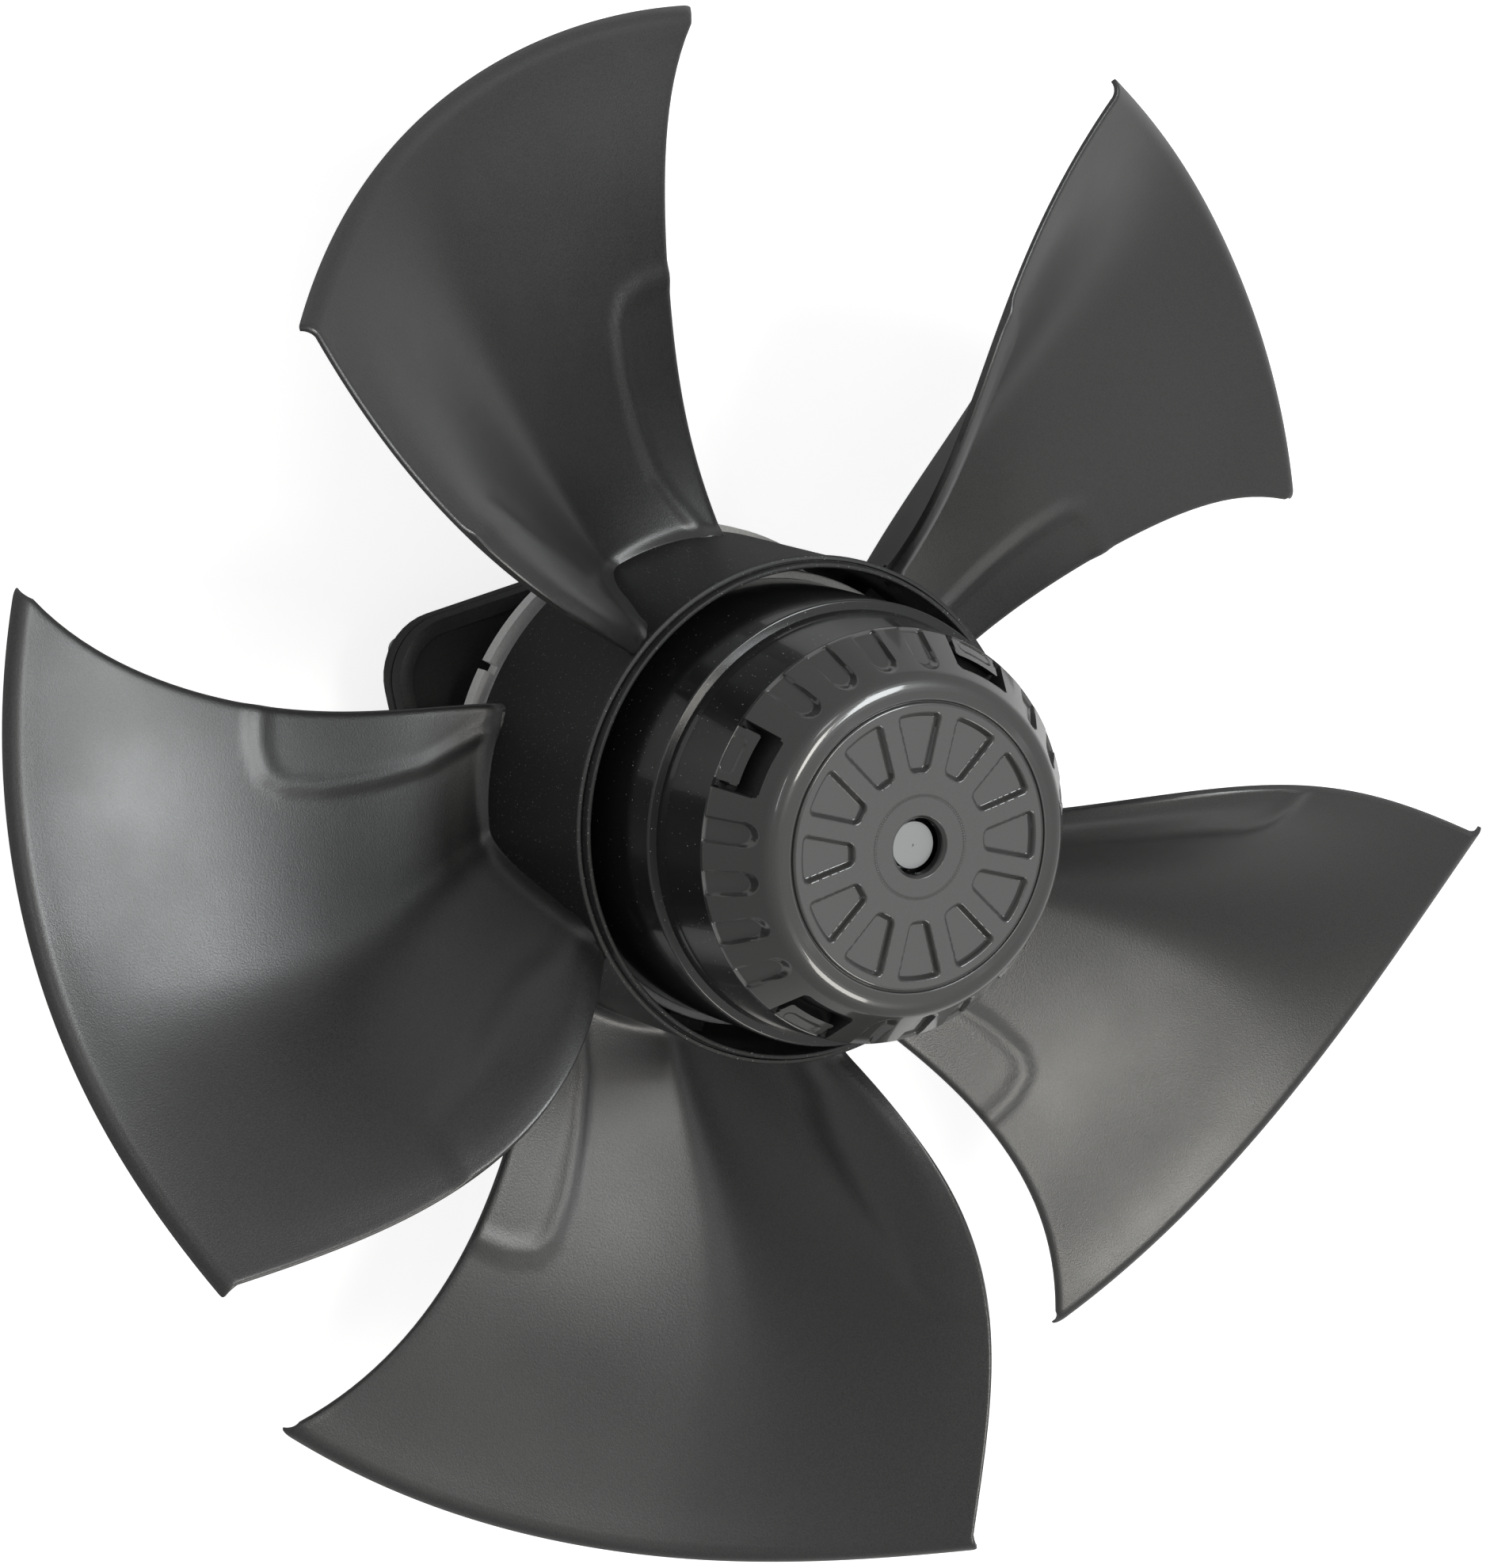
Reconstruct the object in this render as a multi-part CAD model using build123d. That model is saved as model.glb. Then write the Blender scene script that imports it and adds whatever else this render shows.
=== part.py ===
from build123d import *
from math import atan2, cos, degrees, radians, sin, sqrt
import os

# Axial fan on an external-rotor motor. Millimetres, +Z along the shaft towards the rotor cap.
# Heights are measured from the rear face of the stator flange, where the fan is mounted.

# --- blades ---
BLADE_COUNT = 5
TIP_RADIUS = 250.0
BLADE_TURN = -13.9  # angle of the first blade's leading tip corner
# Edges at the hub, the quarter, half and three-quarter span, and the tip.
LEAD_ANGLES = (-4.1, 3.7, 5.6, 4.4, 0.0)
LEAD_HEIGHTS = (20.5, 18.1, 21.5, 18.8, 11.6)
TRAIL_ANGLES = (48.8, 54.1, 54.3, 51.8, 48.5)
TRAIL_HEIGHTS = (79.2, 110.8, 117.0, 112.2, 107.3)
TIP_CAMBER = 0.4  # share of the tip's rise that grows with the cube of the chord
ROOT_RISE_START = 0.53  # chord share where the root begins to climb to its trailing edge
ROOT_RISE_END = 0.97
CAMBER_BLEND = 0.6  # how soon along the span the root's camber gives way to the tip's
EDGE_THICKNESS = 1.7
BLADE_THICKNESS = 3.2  # at mid chord
SLOPE_STEP = 0.001  # share of the span or chord over which the skin's slope is taken
ROOT_RISE_POWER = 1.25
TIP_ROLL_RADIUS = 6.0  # the tip is rolled back over this radius
TIP_ROLL_ANGLE = 70.0
# Facets of a blade: columns along the chord, rows along the span and around the rolled tip.
BLADE_COLUMNS = 11
BLADE_ROWS = 7
ROLL_ROWS = 2

# --- hub of the impeller, around the rotor bell ---
CAN_RADIUS = 71.0  # outside of the bell
HUB_GAP = 6.6  # between the bell and the hub
HUB_WALL = 2.8
HUB_RADIUS = CAN_RADIUS + HUB_GAP + HUB_WALL
HUB_SIDES = 48  # the hub ring is built of flats, to spare facets
ROLL_SPAN = 1 - TIP_ROLL_RADIUS / (TIP_RADIUS - HUB_RADIUS)  # where the tip begins to roll
HUB_REAR = 10.0
HUB_FRONT = 83.5
RIM_WIDTH = 1.1
RIM_RADIUS = HUB_RADIUS + RIM_WIDTH
RIM_DEPTH = 3.5
LIP_INSET = 0.9
LIP_RADIUS = HUB_RADIUS - LIP_INSET
LIP_HEIGHT = 2.8

# --- carrier ring that joins the hub to the rotor ---
CARRIER_WALL = 2.6
CARRIER_SIDES = 36
CARRIER_REAR = 30.0
CARRIER_FRONT = 58.0
CARRIER_LUGS = 9
CARRIER_LUG_WIDTH = 14.0
CARRIER_LUG_REAR = 36.0
CARRIER_LUG_FRONT = 52.0
CARRIER_TURN = -51.9

# --- rotor ---
CAN_WALL = 2.5
CAN_REAR = 9.0
CAN_SHOULDER = 109.0
SHOULDER_WIDTH = 5.0
NECK_RADIUS = CAN_RADIUS - SHOULDER_WIDTH
NECK_TOP = 133.0
END_PLATE = 4.0
ROTOR_BOSS_RADIUS = 14.0
ROTOR_BOSS_FRONT = 145.0
AIR_GAP = 0.5
ROTOR_CORE_DEPTH = 12.5
ROTOR_BARS = 36
CORE_REAR = 30.0
CORE_FRONT = 92.0

# --- rotor cap ---
CAP_WALL = 2.4
CAP_RIM_INSET = 0.5  # from the neck to the cap's rim
CAP_RIM_RADIUS = NECK_RADIUS - CAP_RIM_INSET
CAP_EDGE_INSET = 12.7  # from the rim to the edge of the face
CAP_EDGE_RADIUS = CAP_RIM_RADIUS - CAP_EDGE_INSET
CAP_INSIDE_SIDES = 24  # flats of the cavity
CAP_FACE = 152.5
CAP_DISC_RADIUS = 44.8
CAP_DISC_RISE = 1.8
CAP_HOLE_RADIUS = 9.0
PANEL_COUNT = 12
PANEL_DEPTH = 1.1
PANEL_INNER_RADIUS = 22.8
PANEL_OUTER_RADIUS = 41.8
PANEL_INNER_WIDTH = 6.6
PANEL_OUTER_WIDTH = 16.0
CAP_TURN = 47.1  # angle of the first window
WINDOW_COUNT = 4
WINDOW_WIDTH = 21.0
WINDOW_TOP_WIDTH = 18.0
WINDOW_LENGTH = 15.5
LATCH_LENGTH = 9.5
LATCH_SINK = 1.2
POCKET_PITCH = 15.0
POCKETS_BETWEEN = 4
POCKET_WIDTH = 8.0
POCKET_DEPTH = 1.5
POCKET_LENGTH = 20.0
POCKET_END_WIDTH = 5.0  # width of its inner end
RIM_OVERRUN = 2.0  # how far the cutting tools reach past the cap's rim

# --- shaft and bearings ---
SHAFT_RADIUS = 7.5
SHAFT_REAR = 2.5
SHAFT_FRONT = 150.0
BEARING_RADIUS = 17.5
BEARING_WIDTH = 11.0
SHAFT_CLEARANCE = 0.06
REAR_BEARING = 7.5
FRONT_BEARING = 99.0

# --- stator ---
FLANGE_RADIUS = 82.0
FLANGE_THICKNESS = 5.0
FLANGE_NOTCHES = 4
NOTCH_WIDTH = 3.0
NOTCH_DEPTH = 3.6
NOTCH_TURN = 47.1
SEAT_DEPTH = 1.0  # square pocket in the rear face for the neck of the terminal box
SEAT_CLEARANCE = 0.3
TUBE_RADIUS = 22.0
TUBE_FRONT = 112.5
BOLT_CIRCLE = 120.0
BOLT_COUNT = 4
BOLT_TURN = 45.0
BOLT_TAP_RADIUS = 2.5
BOLT_PAD_WIDTH = 12.0
BOLT_PAD_FRONT = 12.0
LEAD_HOLE = 8.0  # square
LEAD_HOLE_PLACE = 30.0
STATOR_TEETH = 12
SLOT_WIDTH = 7.0
SLOT_MOUTH = 3.0
SLOT_BOTTOM_RADIUS = 30.0
SLOT_TOP_RADIUS = 50.0
WINDING_INNER_RADIUS = 27.0
WINDING_OUTER_RADIUS = 51.0
WINDING_SIDES = 12
WINDING_HEIGHT = 15.0
SLOT_LINER = 0.4
SLOT_OVERRUN = 1.0  # how far the slot's cutter reaches past the teeth

# --- terminal box ---
BOX_WIDTH = 144.0
BOX_HEIGHT = 121.0
BOX_CENTRE_Y = 25.5
BOX_CORNER = 20.0
BOX_FRONT = -8.0
BASE_THICKNESS = 6.0
BASE_RIM = 5.0
BASE_RECESS = 3.0
BOX_NECK = 76.0  # square neck between the box and the flange
LEAD_OPENING = 62.0  # square opening through the neck
GASKET_THICKNESS = 0.8
GASKET_WIDTH = 4.0
COVER_FLANGE = 5.2
COVER_INSET = 18.0
COVER_LOW_INSET = 2.0
COVER_REAR = -48.0
COVER_CORNER = 5.0
COVER_WALL = 2.6
SCREW_SIDES = 6  # the small screws are six-sided and the gland's thread twelve-sided, to spare facets
GLAND_THREAD_SIDES = 12
SCREW_INSET = 9.0
SCREW_HEAD_RADIUS = 4.0
SCREW_HEAD_HEIGHT = 2.6
SCREW_RADIUS = 2.0
SCREW_BITE = 2.0  # depth of the screws in the base
GLAND_HEIGHT = -33.0
GLAND_FLATS = 22.0
GLAND_THREAD_RADIUS = 8.0
GLAND_BORE_RADIUS = 5.0
GLAND_BODY_LENGTH = 8.0
GLAND_NUT_LENGTH = 14.0
LOCKNUT_THICKNESS = 4.0
STRIP_LENGTH = 60.0
STRIP_WIDTH = 18.0
STRIP_HEIGHT = 14.0
STRIP_PLACE = 50.0
STRIP_POLES = 6
WELL_WIDTH = 5.0
WELL_DEPTH = 3.0
EARTH_BLOCK = 9.0
EARTH_CLEARANCE = 4.9  # from the earth block to the cover's side wall
EARTH_PLACE = (BOX_WIDTH / 2 - COVER_INSET - COVER_WALL - EARTH_CLEARANCE - EARTH_BLOCK / 2, 18.0)
BASE_REAR = BOX_FRONT - BASE_THICKNESS
COVER_FRONT = BASE_REAR - GASKET_THICKNESS
FLANGE_REAR = COVER_FRONT - COVER_FLANGE


def turned(*outline):
    """Solid of revolution about Z from a closed outline of (radius, height)."""
    return revolve(Plane.XZ * make_face(Polyline(*outline, close=True)), Axis.Z)


def ring(inner, outer, low, high):
    """Plain ring between two radii and two heights."""
    return turned((inner, low), (outer, low), (outer, high), (inner, high))


def rod(radius, low, high, x=0.0, y=0.0):
    """Upright cylinder between two heights."""
    return Pos(x, y, low) * Cylinder(radius, high - low, align=(Align.CENTER, Align.CENTER, Align.MIN))


def around(shape, count, first=0.0):
    """Copies of a shape evenly spaced about Z."""
    return [shape.rotate(Axis.Z, first + 360.0 * i / count) for i in range(count)]


def along_span(values, share):
    """Smooth value at a share of the span, through values evenly spaced from hub to tip."""
    steps = len(values) - 1
    total = 0.0
    for i, value in enumerate(values):
        weight = 1.0
        for j in range(steps + 1):
            if j != i:
                weight *= (share * steps - j) / (i - j)
        total += value * weight
    return total


def rise(chord, span):
    """Share of the climb from leading to trailing edge that is made at this chord share."""
    tip = (1 - TIP_CAMBER) * chord + TIP_CAMBER * chord**3
    step = (chord - ROOT_RISE_START) / (ROOT_RISE_END - ROOT_RISE_START)
    step = min(max(step, 0.0), 1.0) ** ROOT_RISE_POWER
    root = step * step * (3 - 2 * step)
    return root + (tip - root) * max(span, 0.0) ** CAMBER_BLEND


def skin_point(span, chord):
    """Point of the blade's front skin, in shares of the span and of the chord."""
    radius = HUB_RADIUS + span * (TIP_RADIUS - HUB_RADIUS)
    lead, trail = along_span(LEAD_ANGLES, span), along_span(TRAIL_ANGLES, span)
    low, high = along_span(LEAD_HEIGHTS, span), along_span(TRAIL_HEIGHTS, span)
    angle = radians(lead + chord * (trail - lead))
    return Vector(radius * cos(angle), radius * sin(angle), low + rise(chord, span) * (high - low))


def skin_normal(span, chord):
    """Unit normal of the front skin, towards the front."""
    outward = skin_point(span + SLOPE_STEP, chord) - skin_point(span - SLOPE_STEP, chord)
    backward = skin_point(span, chord + SLOPE_STEP) - skin_point(span, chord - SLOPE_STEP)
    return outward.cross(backward).normalized()


def thickness(chord):
    """Blade thickness, thinner towards both edges."""
    return EDGE_THICKNESS + (BLADE_THICKNESS - EDGE_THICKNESS) * 4 * chord * (1 - chord)


def plate_row(span, chords):
    """Front and back points of the blade at a share of the span."""
    front = [skin_point(span, c) for c in chords]
    back = [skin_point(span, c) - skin_normal(span, c) * thickness(c) for c in chords]
    return front, back


def roll_row(turn, chords):
    """Outer and inner points of the rolled tip at a turn of its arc."""
    outer = [rolled_point(c, turn, 0) for c in chords]
    inner = [rolled_point(c, turn, EDGE_THICKNESS) for c in chords]
    return outer, inner


def rolled_point(chord, turn, depth):
    """Point of the rolled tip, at a turn of its arc and a depth below its outer skin."""
    start, normal = skin_point(ROLL_SPAN, chord), skin_normal(ROLL_SPAN, chord)
    radial = Vector(start.X, start.Y, 0).normalized()
    outward = (radial - normal * radial.dot(normal)).normalized()
    arm = normal * cos(turn) + outward * sin(turn)
    return start - normal * TIP_ROLL_RADIUS + arm * (TIP_ROLL_RADIUS - depth)


def split(a, b, c, d):
    """The two triangles of a four-cornered cell."""
    return [(a, b, c), (a, c, d)]


def blade():
    """One blade of flat facets: front and back skins, closed around their rim."""
    root = -HUB_WALL / 2 / (TIP_RADIUS - HUB_RADIUS)
    chords = [i / BLADE_COLUMNS for i in range(BLADE_COLUMNS + 1)]
    spans = [root + (ROLL_SPAN - root) * i / BLADE_ROWS for i in range(BLADE_ROWS + 1)]
    turns = [radians(TIP_ROLL_ANGLE) * (i + 1) / ROLL_ROWS for i in range(ROLL_ROWS)]
    pairs = [plate_row(span, chords) for span in spans] + [roll_row(turn, chords) for turn in turns]
    front, back = zip(*pairs)
    rows = len(pairs) - 1
    cells = []
    for skin in (front, back):
        for i in range(rows):
            for j in range(BLADE_COLUMNS):
                cells += split(skin[i][j], skin[i + 1][j], skin[i + 1][j + 1], skin[i][j + 1])
    for row in (0, rows):
        for j in range(BLADE_COLUMNS):
            cells += split(front[row][j], front[row][j + 1], back[row][j + 1], back[row][j])
    for column in (0, BLADE_COLUMNS):
        for i in range(rows):
            cells += split(front[i][column], front[i + 1][column], back[i + 1][column], back[i][column])
    faces = [Face(Wire.make_polygon(corners, close=True)) for corners in cells]
    return Solid(Shell(Face.sew_faces(faces)[0]))


def tube(inner, outer, sides, low, high):
    """Ring between two regular prisms of the same number of sides."""
    return prism(outer, sides, low, high) - prism(inner, sides, low, high)


def impeller():
    """Hub ring and blades, moulded as one piece."""
    inner = HUB_RADIUS - HUB_WALL
    wall = tube(inner, HUB_RADIUS, HUB_SIDES, HUB_REAR, HUB_FRONT - RIM_DEPTH)
    rim = tube(inner, RIM_RADIUS, HUB_SIDES, HUB_FRONT - RIM_DEPTH, HUB_FRONT)
    lip = tube(inner, LIP_RADIUS, HUB_SIDES, HUB_FRONT, HUB_FRONT + LIP_HEIGHT)
    return wall + rim + lip + around(blade(), BLADE_COUNT, BLADE_TURN)


def hub_carrier():
    """Aluminium ring pressed on the rotor, with lugs that carry the moulded hub."""
    outer = prism(CAN_RADIUS + CARRIER_WALL, CARRIER_SIDES, CARRIER_REAR, CARRIER_FRONT)
    foot = CAN_RADIUS + CARRIER_WALL / 2
    hub_inner = (HUB_RADIUS - HUB_WALL) * cos(radians(180 / HUB_SIDES))
    reach = sqrt(hub_inner**2 - (CARRIER_LUG_WIDTH / 2) ** 2)
    size = (reach - foot, CARRIER_LUG_WIDTH, CARRIER_LUG_FRONT - CARRIER_LUG_REAR)
    lug = Pos(foot, 0, CARRIER_LUG_REAR) * Box(*size, align=(Align.MIN, Align.CENTER, Align.MIN))
    body = outer + around(lug, CARRIER_LUGS, CARRIER_TURN)
    return body - rod(CAN_RADIUS, CARRIER_REAR, CARRIER_FRONT)


def rotor_can():
    """Deep-drawn bell: wall, shoulder, neck and end plate with the shaft boss."""
    body = turned(
        (SHAFT_RADIUS, CAN_REAR),
        (CAN_RADIUS, CAN_REAR),
        (CAN_RADIUS, CAN_SHOULDER),
        (NECK_RADIUS, CAN_SHOULDER),
        (NECK_RADIUS, NECK_TOP),
        (ROTOR_BOSS_RADIUS, NECK_TOP),
        (ROTOR_BOSS_RADIUS, ROTOR_BOSS_FRONT),
        (SHAFT_RADIUS, ROTOR_BOSS_FRONT),
    )
    chamber = prism(CAN_RADIUS - CAN_WALL, ROTOR_BARS, CAN_REAR, CAN_SHOULDER - CAN_WALL)
    return body - chamber - prism(NECK_RADIUS - CAN_WALL, ROTOR_BARS, CAN_REAR, NECK_TOP - END_PLATE)


def rotor_core():
    """Laminated rotor ring pressed into the bell, with flats for the bars of its cage."""
    bore = RegularPolygon(stator_radius() + AIR_GAP, ROTOR_BARS, major_radius=False)
    section = RegularPolygon(CAN_RADIUS - CAN_WALL, ROTOR_BARS) - bore
    return extrude(Pos(0, 0, CORE_REAR) * section, CORE_FRONT - CORE_REAR)


def stator_radius():
    """Outer radius of the stator's teeth."""
    return CAN_RADIUS - CAN_WALL - ROTOR_CORE_DEPTH - AIR_GAP


def on_cone(sketch, depth, height):
    """Tool standing on the cap's cone: local x climbs the slope from the rim, z points outwards."""
    climb = Vector(-CAP_EDGE_INSET, 0, CAP_FACE - NECK_TOP).normalized()
    outward = Vector(climb.Z, 0, -climb.X)
    foot = Vector(CAP_RIM_RADIUS, 0, NECK_TOP) - outward * depth
    return extrude(Plane(origin=foot, x_dir=climb, z_dir=outward) * sketch, height)


def outline(*half):
    """Flat face from the points of one side; the other side mirrors them across the x axis."""
    return make_face(Polyline(*half, *[(x, -y) for x, y in reversed(half)], close=True))


def pocket_tool():
    """Tapering pocket that runs out over the rim of the cap."""
    finger = outline((-RIM_OVERRUN, POCKET_WIDTH / 2), (POCKET_LENGTH, POCKET_END_WIDTH / 2))
    return on_cone(finger, POCKET_DEPTH, CAP_WALL + POCKET_DEPTH)


def window_tool():
    """Latch window: a shallow recess over the latch and a hole through the cone above it."""
    low, top = WINDOW_WIDTH / 2, WINDOW_TOP_WIDTH / 2
    recess = outline((-RIM_OVERRUN, low), (WINDOW_LENGTH, top))
    hole = outline((LATCH_LENGTH, top), (WINDOW_LENGTH, top))
    return on_cone(recess, LATCH_SINK, CAP_WALL) + on_cone(hole, 2 * CAP_WALL, 3 * CAP_WALL)


def rotor_cap():
    """Moulded cap: cone with pockets and latch windows, and a face with sunk panels."""
    disc_front = CAP_FACE + CAP_DISC_RISE
    inside = CAP_FACE - CAP_WALL
    body = turned(
        (CAP_RIM_RADIUS, NECK_TOP),
        (CAP_EDGE_RADIUS, CAP_FACE),
        (CAP_DISC_RADIUS, CAP_FACE),
        (CAP_DISC_RADIUS, disc_front),
        (CAP_HOLE_RADIUS, disc_front),
        (CAP_HOLE_RADIUS, NECK_TOP),
    )
    mouth = Pos(0, 0, NECK_TOP) * RegularPolygon(CAP_RIM_RADIUS - 2 * CAP_WALL, CAP_INSIDE_SIDES)
    lean = degrees(atan2(CAP_EDGE_INSET, CAP_FACE - NECK_TOP))
    shell = body - extrude(mouth, inside - NECK_TOP, taper=lean)
    inner, outer = PANEL_INNER_WIDTH / 2, PANEL_OUTER_WIDTH / 2
    panel = outline((PANEL_INNER_RADIUS, inner), (PANEL_OUTER_RADIUS, outer))
    panel_tool = extrude(Pos(0, 0, disc_front - PANEL_DEPTH) * panel, 2 * PANEL_DEPTH)
    cuts = around(panel_tool, PANEL_COUNT, CAP_TURN) + around(window_tool(), WINDOW_COUNT, CAP_TURN)
    for i in range(POCKETS_BETWEEN):
        cuts += around(pocket_tool(), WINDOW_COUNT, CAP_TURN + (i + 1.5) * POCKET_PITCH)
    return shell - cuts


def shaft():
    """Ground shaft, pressed into the bell's boss."""
    return turned(
        (0, SHAFT_REAR),
        (SHAFT_RADIUS, SHAFT_REAR),
        (SHAFT_RADIUS, SHAFT_FRONT),
        (0, SHAFT_FRONT),
    )


def shaft_bearings():
    """The two sealed bearings in the tube; the shaft turns in them."""
    bore = SHAFT_RADIUS + SHAFT_CLEARANCE
    rings = [ring(bore, BEARING_RADIUS, low, low + BEARING_WIDTH) for low in (REAR_BEARING, FRONT_BEARING)]
    return Compound(children=rings)


def stator_flange():
    """Cast flange with the bearing tube, tapped mounting pads and notches in its edge."""
    body = turned(
        (BEARING_RADIUS, 0),
        (FLANGE_RADIUS, 0),
        (FLANGE_RADIUS, FLANGE_THICKNESS),
        (TUBE_RADIUS, FLANGE_THICKNESS),
        (TUBE_RADIUS, TUBE_FRONT),
        (BEARING_RADIUS, TUBE_FRONT),
    )
    upright = (Align.CENTER, Align.CENTER, Align.MIN)
    pad = Pos(BOLT_CIRCLE / 2, 0) * Box(BOLT_PAD_WIDTH, BOLT_PAD_WIDTH, BOLT_PAD_FRONT, align=upright)
    tap = rod(BOLT_TAP_RADIUS, 0, BOLT_PAD_FRONT, BOLT_CIRCLE / 2)
    notch = Pos(FLANGE_RADIUS, 0) * Box(2 * NOTCH_DEPTH, NOTCH_WIDTH, FLANGE_THICKNESS, align=upright)
    lead_hole = Pos(LEAD_HOLE_PLACE, 0) * Box(LEAD_HOLE, LEAD_HOLE, 2 * FLANGE_THICKNESS)
    cuts = around(tap, BOLT_COUNT, BOLT_TURN) + around(notch, FLANGE_NOTCHES, NOTCH_TURN)
    seat = square_block(BOX_NECK + 2 * SEAT_CLEARANCE, 0, SEAT_DEPTH)
    return body + around(pad, BOLT_COUNT, BOLT_TURN) - cuts - lead_hole - seat


def stator_core():
    """Laminated stator on the bearing tube, with a tooth between each pair of slots."""
    tip = stator_radius()
    slot = outline(
        (SLOT_BOTTOM_RADIUS, SLOT_WIDTH / 2),
        (SLOT_TOP_RADIUS, SLOT_WIDTH / 2),
        (SLOT_TOP_RADIUS, SLOT_MOUTH / 2),
        (tip + SLOT_OVERRUN, SLOT_MOUTH / 2),
    )
    bore = RegularPolygon(TUBE_RADIUS, 2 * STATOR_TEETH, major_radius=False)
    section = RegularPolygon(tip, 2 * STATOR_TEETH) - bore - around(slot, STATOR_TEETH)
    return extrude(Pos(0, 0, CORE_REAR) * section, CORE_FRONT - CORE_REAR)


def stator_winding():
    """Winding: a bundle in each slot, and the bound ends on both sides of the core."""
    bore = RegularPolygon(WINDING_INNER_RADIUS, WINDING_SIDES)
    band = RegularPolygon(WINDING_OUTER_RADIUS, WINDING_SIDES) - bore
    rear, front = CORE_REAR - WINDING_HEIGHT, CORE_FRONT
    ends = [extrude(Pos(0, 0, low) * band, WINDING_HEIGHT) for low in (rear, front)]
    from_radius, to_radius = SLOT_BOTTOM_RADIUS + SLOT_LINER, SLOT_TOP_RADIUS - SLOT_LINER
    half = SLOT_WIDTH / 2 - SLOT_LINER
    section = outline((from_radius, half), (to_radius, half))
    bundle = extrude(Pos(0, 0, CORE_REAR) * section, CORE_FRONT - CORE_REAR)
    return ends[0] + around(bundle, STATOR_TEETH) + ends[1]


def box_plate(inset, low_inset, corner, low, high):
    """Plate of the box, set in from its outline; the low inset counts on the gland's side."""
    width = BOX_WIDTH - 2 * inset
    height = BOX_HEIGHT - inset - low_inset
    centre = BOX_CENTRE_Y + (low_inset - inset) / 2
    return extrude(Pos(0, centre, low) * RectangleRounded(width, height, corner), high - low)


def square_block(width, low, high):
    """Square block centred on the shaft."""
    return Pos(0, 0, low) * Box(width, width, high - low, align=(Align.CENTER, Align.CENTER, Align.MIN))


def at_screws(shape):
    """Copies of a shape at the corners of the terminal box."""
    x = BOX_WIDTH / 2 - SCREW_INSET
    y = BOX_HEIGHT / 2 - SCREW_INSET
    return [Pos(i * x, BOX_CENTRE_Y + j * y) * shape for i in (-1, 1) for j in (-1, 1)]


def prism(radius, sides, low, high):
    """Upright prism on a regular polygon."""
    return extrude(Pos(0, 0, low) * RegularPolygon(radius, sides), high - low)


def screw_shank():
    """Shank of a cover screw, from its head to its end in the base."""
    return prism(SCREW_RADIUS, SCREW_SIDES, FLANGE_REAR, BASE_REAR + SCREW_BITE)


def terminal_box_base():
    """Base plate with a raised rim, a square neck to the flange and the lead opening."""
    plate = box_plate(0, 0, BOX_CORNER, BASE_REAR, BOX_FRONT)
    recess = box_plate(BASE_RIM, BASE_RIM, BOX_CORNER - BASE_RIM, BOX_FRONT - BASE_RECESS, BOX_FRONT)
    neck = square_block(BOX_NECK, BASE_REAR, SEAT_DEPTH)
    opening = square_block(LEAD_OPENING, BASE_REAR, SEAT_DEPTH)
    return plate - recess + neck - opening - at_screws(screw_shank())


def cover_gasket():
    """Flat gasket between the base and the cover of the terminal box."""
    width = BOX_WIDTH - 2 * BOX_CORNER
    height = BOX_HEIGHT - BOX_CORNER
    outer = Rectangle(width, height)
    inner = Rectangle(width - 2 * GASKET_WIDTH, height - 2 * GASKET_WIDTH)
    return extrude(Pos(0, BOX_CENTRE_Y, COVER_FRONT) * (outer - inner), GASKET_THICKNESS)


def terminal_box_cover():
    """Deep cover with a flat flange, screw holes and the gland's hole."""
    flange = box_plate(0, 0, BOX_CORNER, FLANGE_REAR, COVER_FRONT)
    housing = box_plate(COVER_INSET, COVER_LOW_INSET, COVER_CORNER, COVER_REAR, FLANGE_REAR)
    walls = (COVER_INSET + COVER_WALL, COVER_LOW_INSET + COVER_WALL)
    width = BOX_WIDTH - 2 * walls[0]
    height = BOX_HEIGHT - walls[0] - walls[1]
    floor = COVER_REAR + COVER_WALL
    centre = BOX_CENTRE_Y + (walls[1] - walls[0]) / 2
    cavity = extrude(Pos(0, centre, floor) * Rectangle(width, height), COVER_FRONT - floor)
    hole = on_gland_axis(gland_thread(), -COVER_WALL, 0)
    return flange + housing - cavity - hole - at_screws(screw_shank())


def cover_screws():
    """Four screws that hold the cover."""
    head = prism(SCREW_HEAD_RADIUS, SCREW_SIDES, FLANGE_REAR - SCREW_HEAD_HEIGHT, FLANGE_REAR)
    return Compound(children=at_screws(head + screw_shank()))


def on_gland_axis(sketch, start, end):
    """Extrusion along the gland's axis; distances count outwards from the cover's wall."""
    wall = BOX_CENTRE_Y - BOX_HEIGHT / 2 + COVER_LOW_INSET
    place = Plane(origin=(0, wall - start, GLAND_HEIGHT), x_dir=(1, 0, 0), z_dir=(0, -1, 0))
    return extrude(place * sketch, end - start)


def hexagon(flats):
    """Hexagon by its width across flats."""
    return RegularPolygon(flats / 2, 6, major_radius=False)


def gland_thread():
    """Outline of the gland's thread."""
    return RegularPolygon(GLAND_THREAD_RADIUS, GLAND_THREAD_SIDES)


def gland_body():
    """Cable gland's body: thread through the wall, and hexagon outside."""
    bore = RegularPolygon(GLAND_BORE_RADIUS, GLAND_THREAD_SIDES)
    thread = on_gland_axis(gland_thread() - bore, -COVER_WALL - LOCKNUT_THICKNESS, 0)
    return thread + on_gland_axis(hexagon(GLAND_FLATS) - bore, 0, GLAND_BODY_LENGTH)


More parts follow.
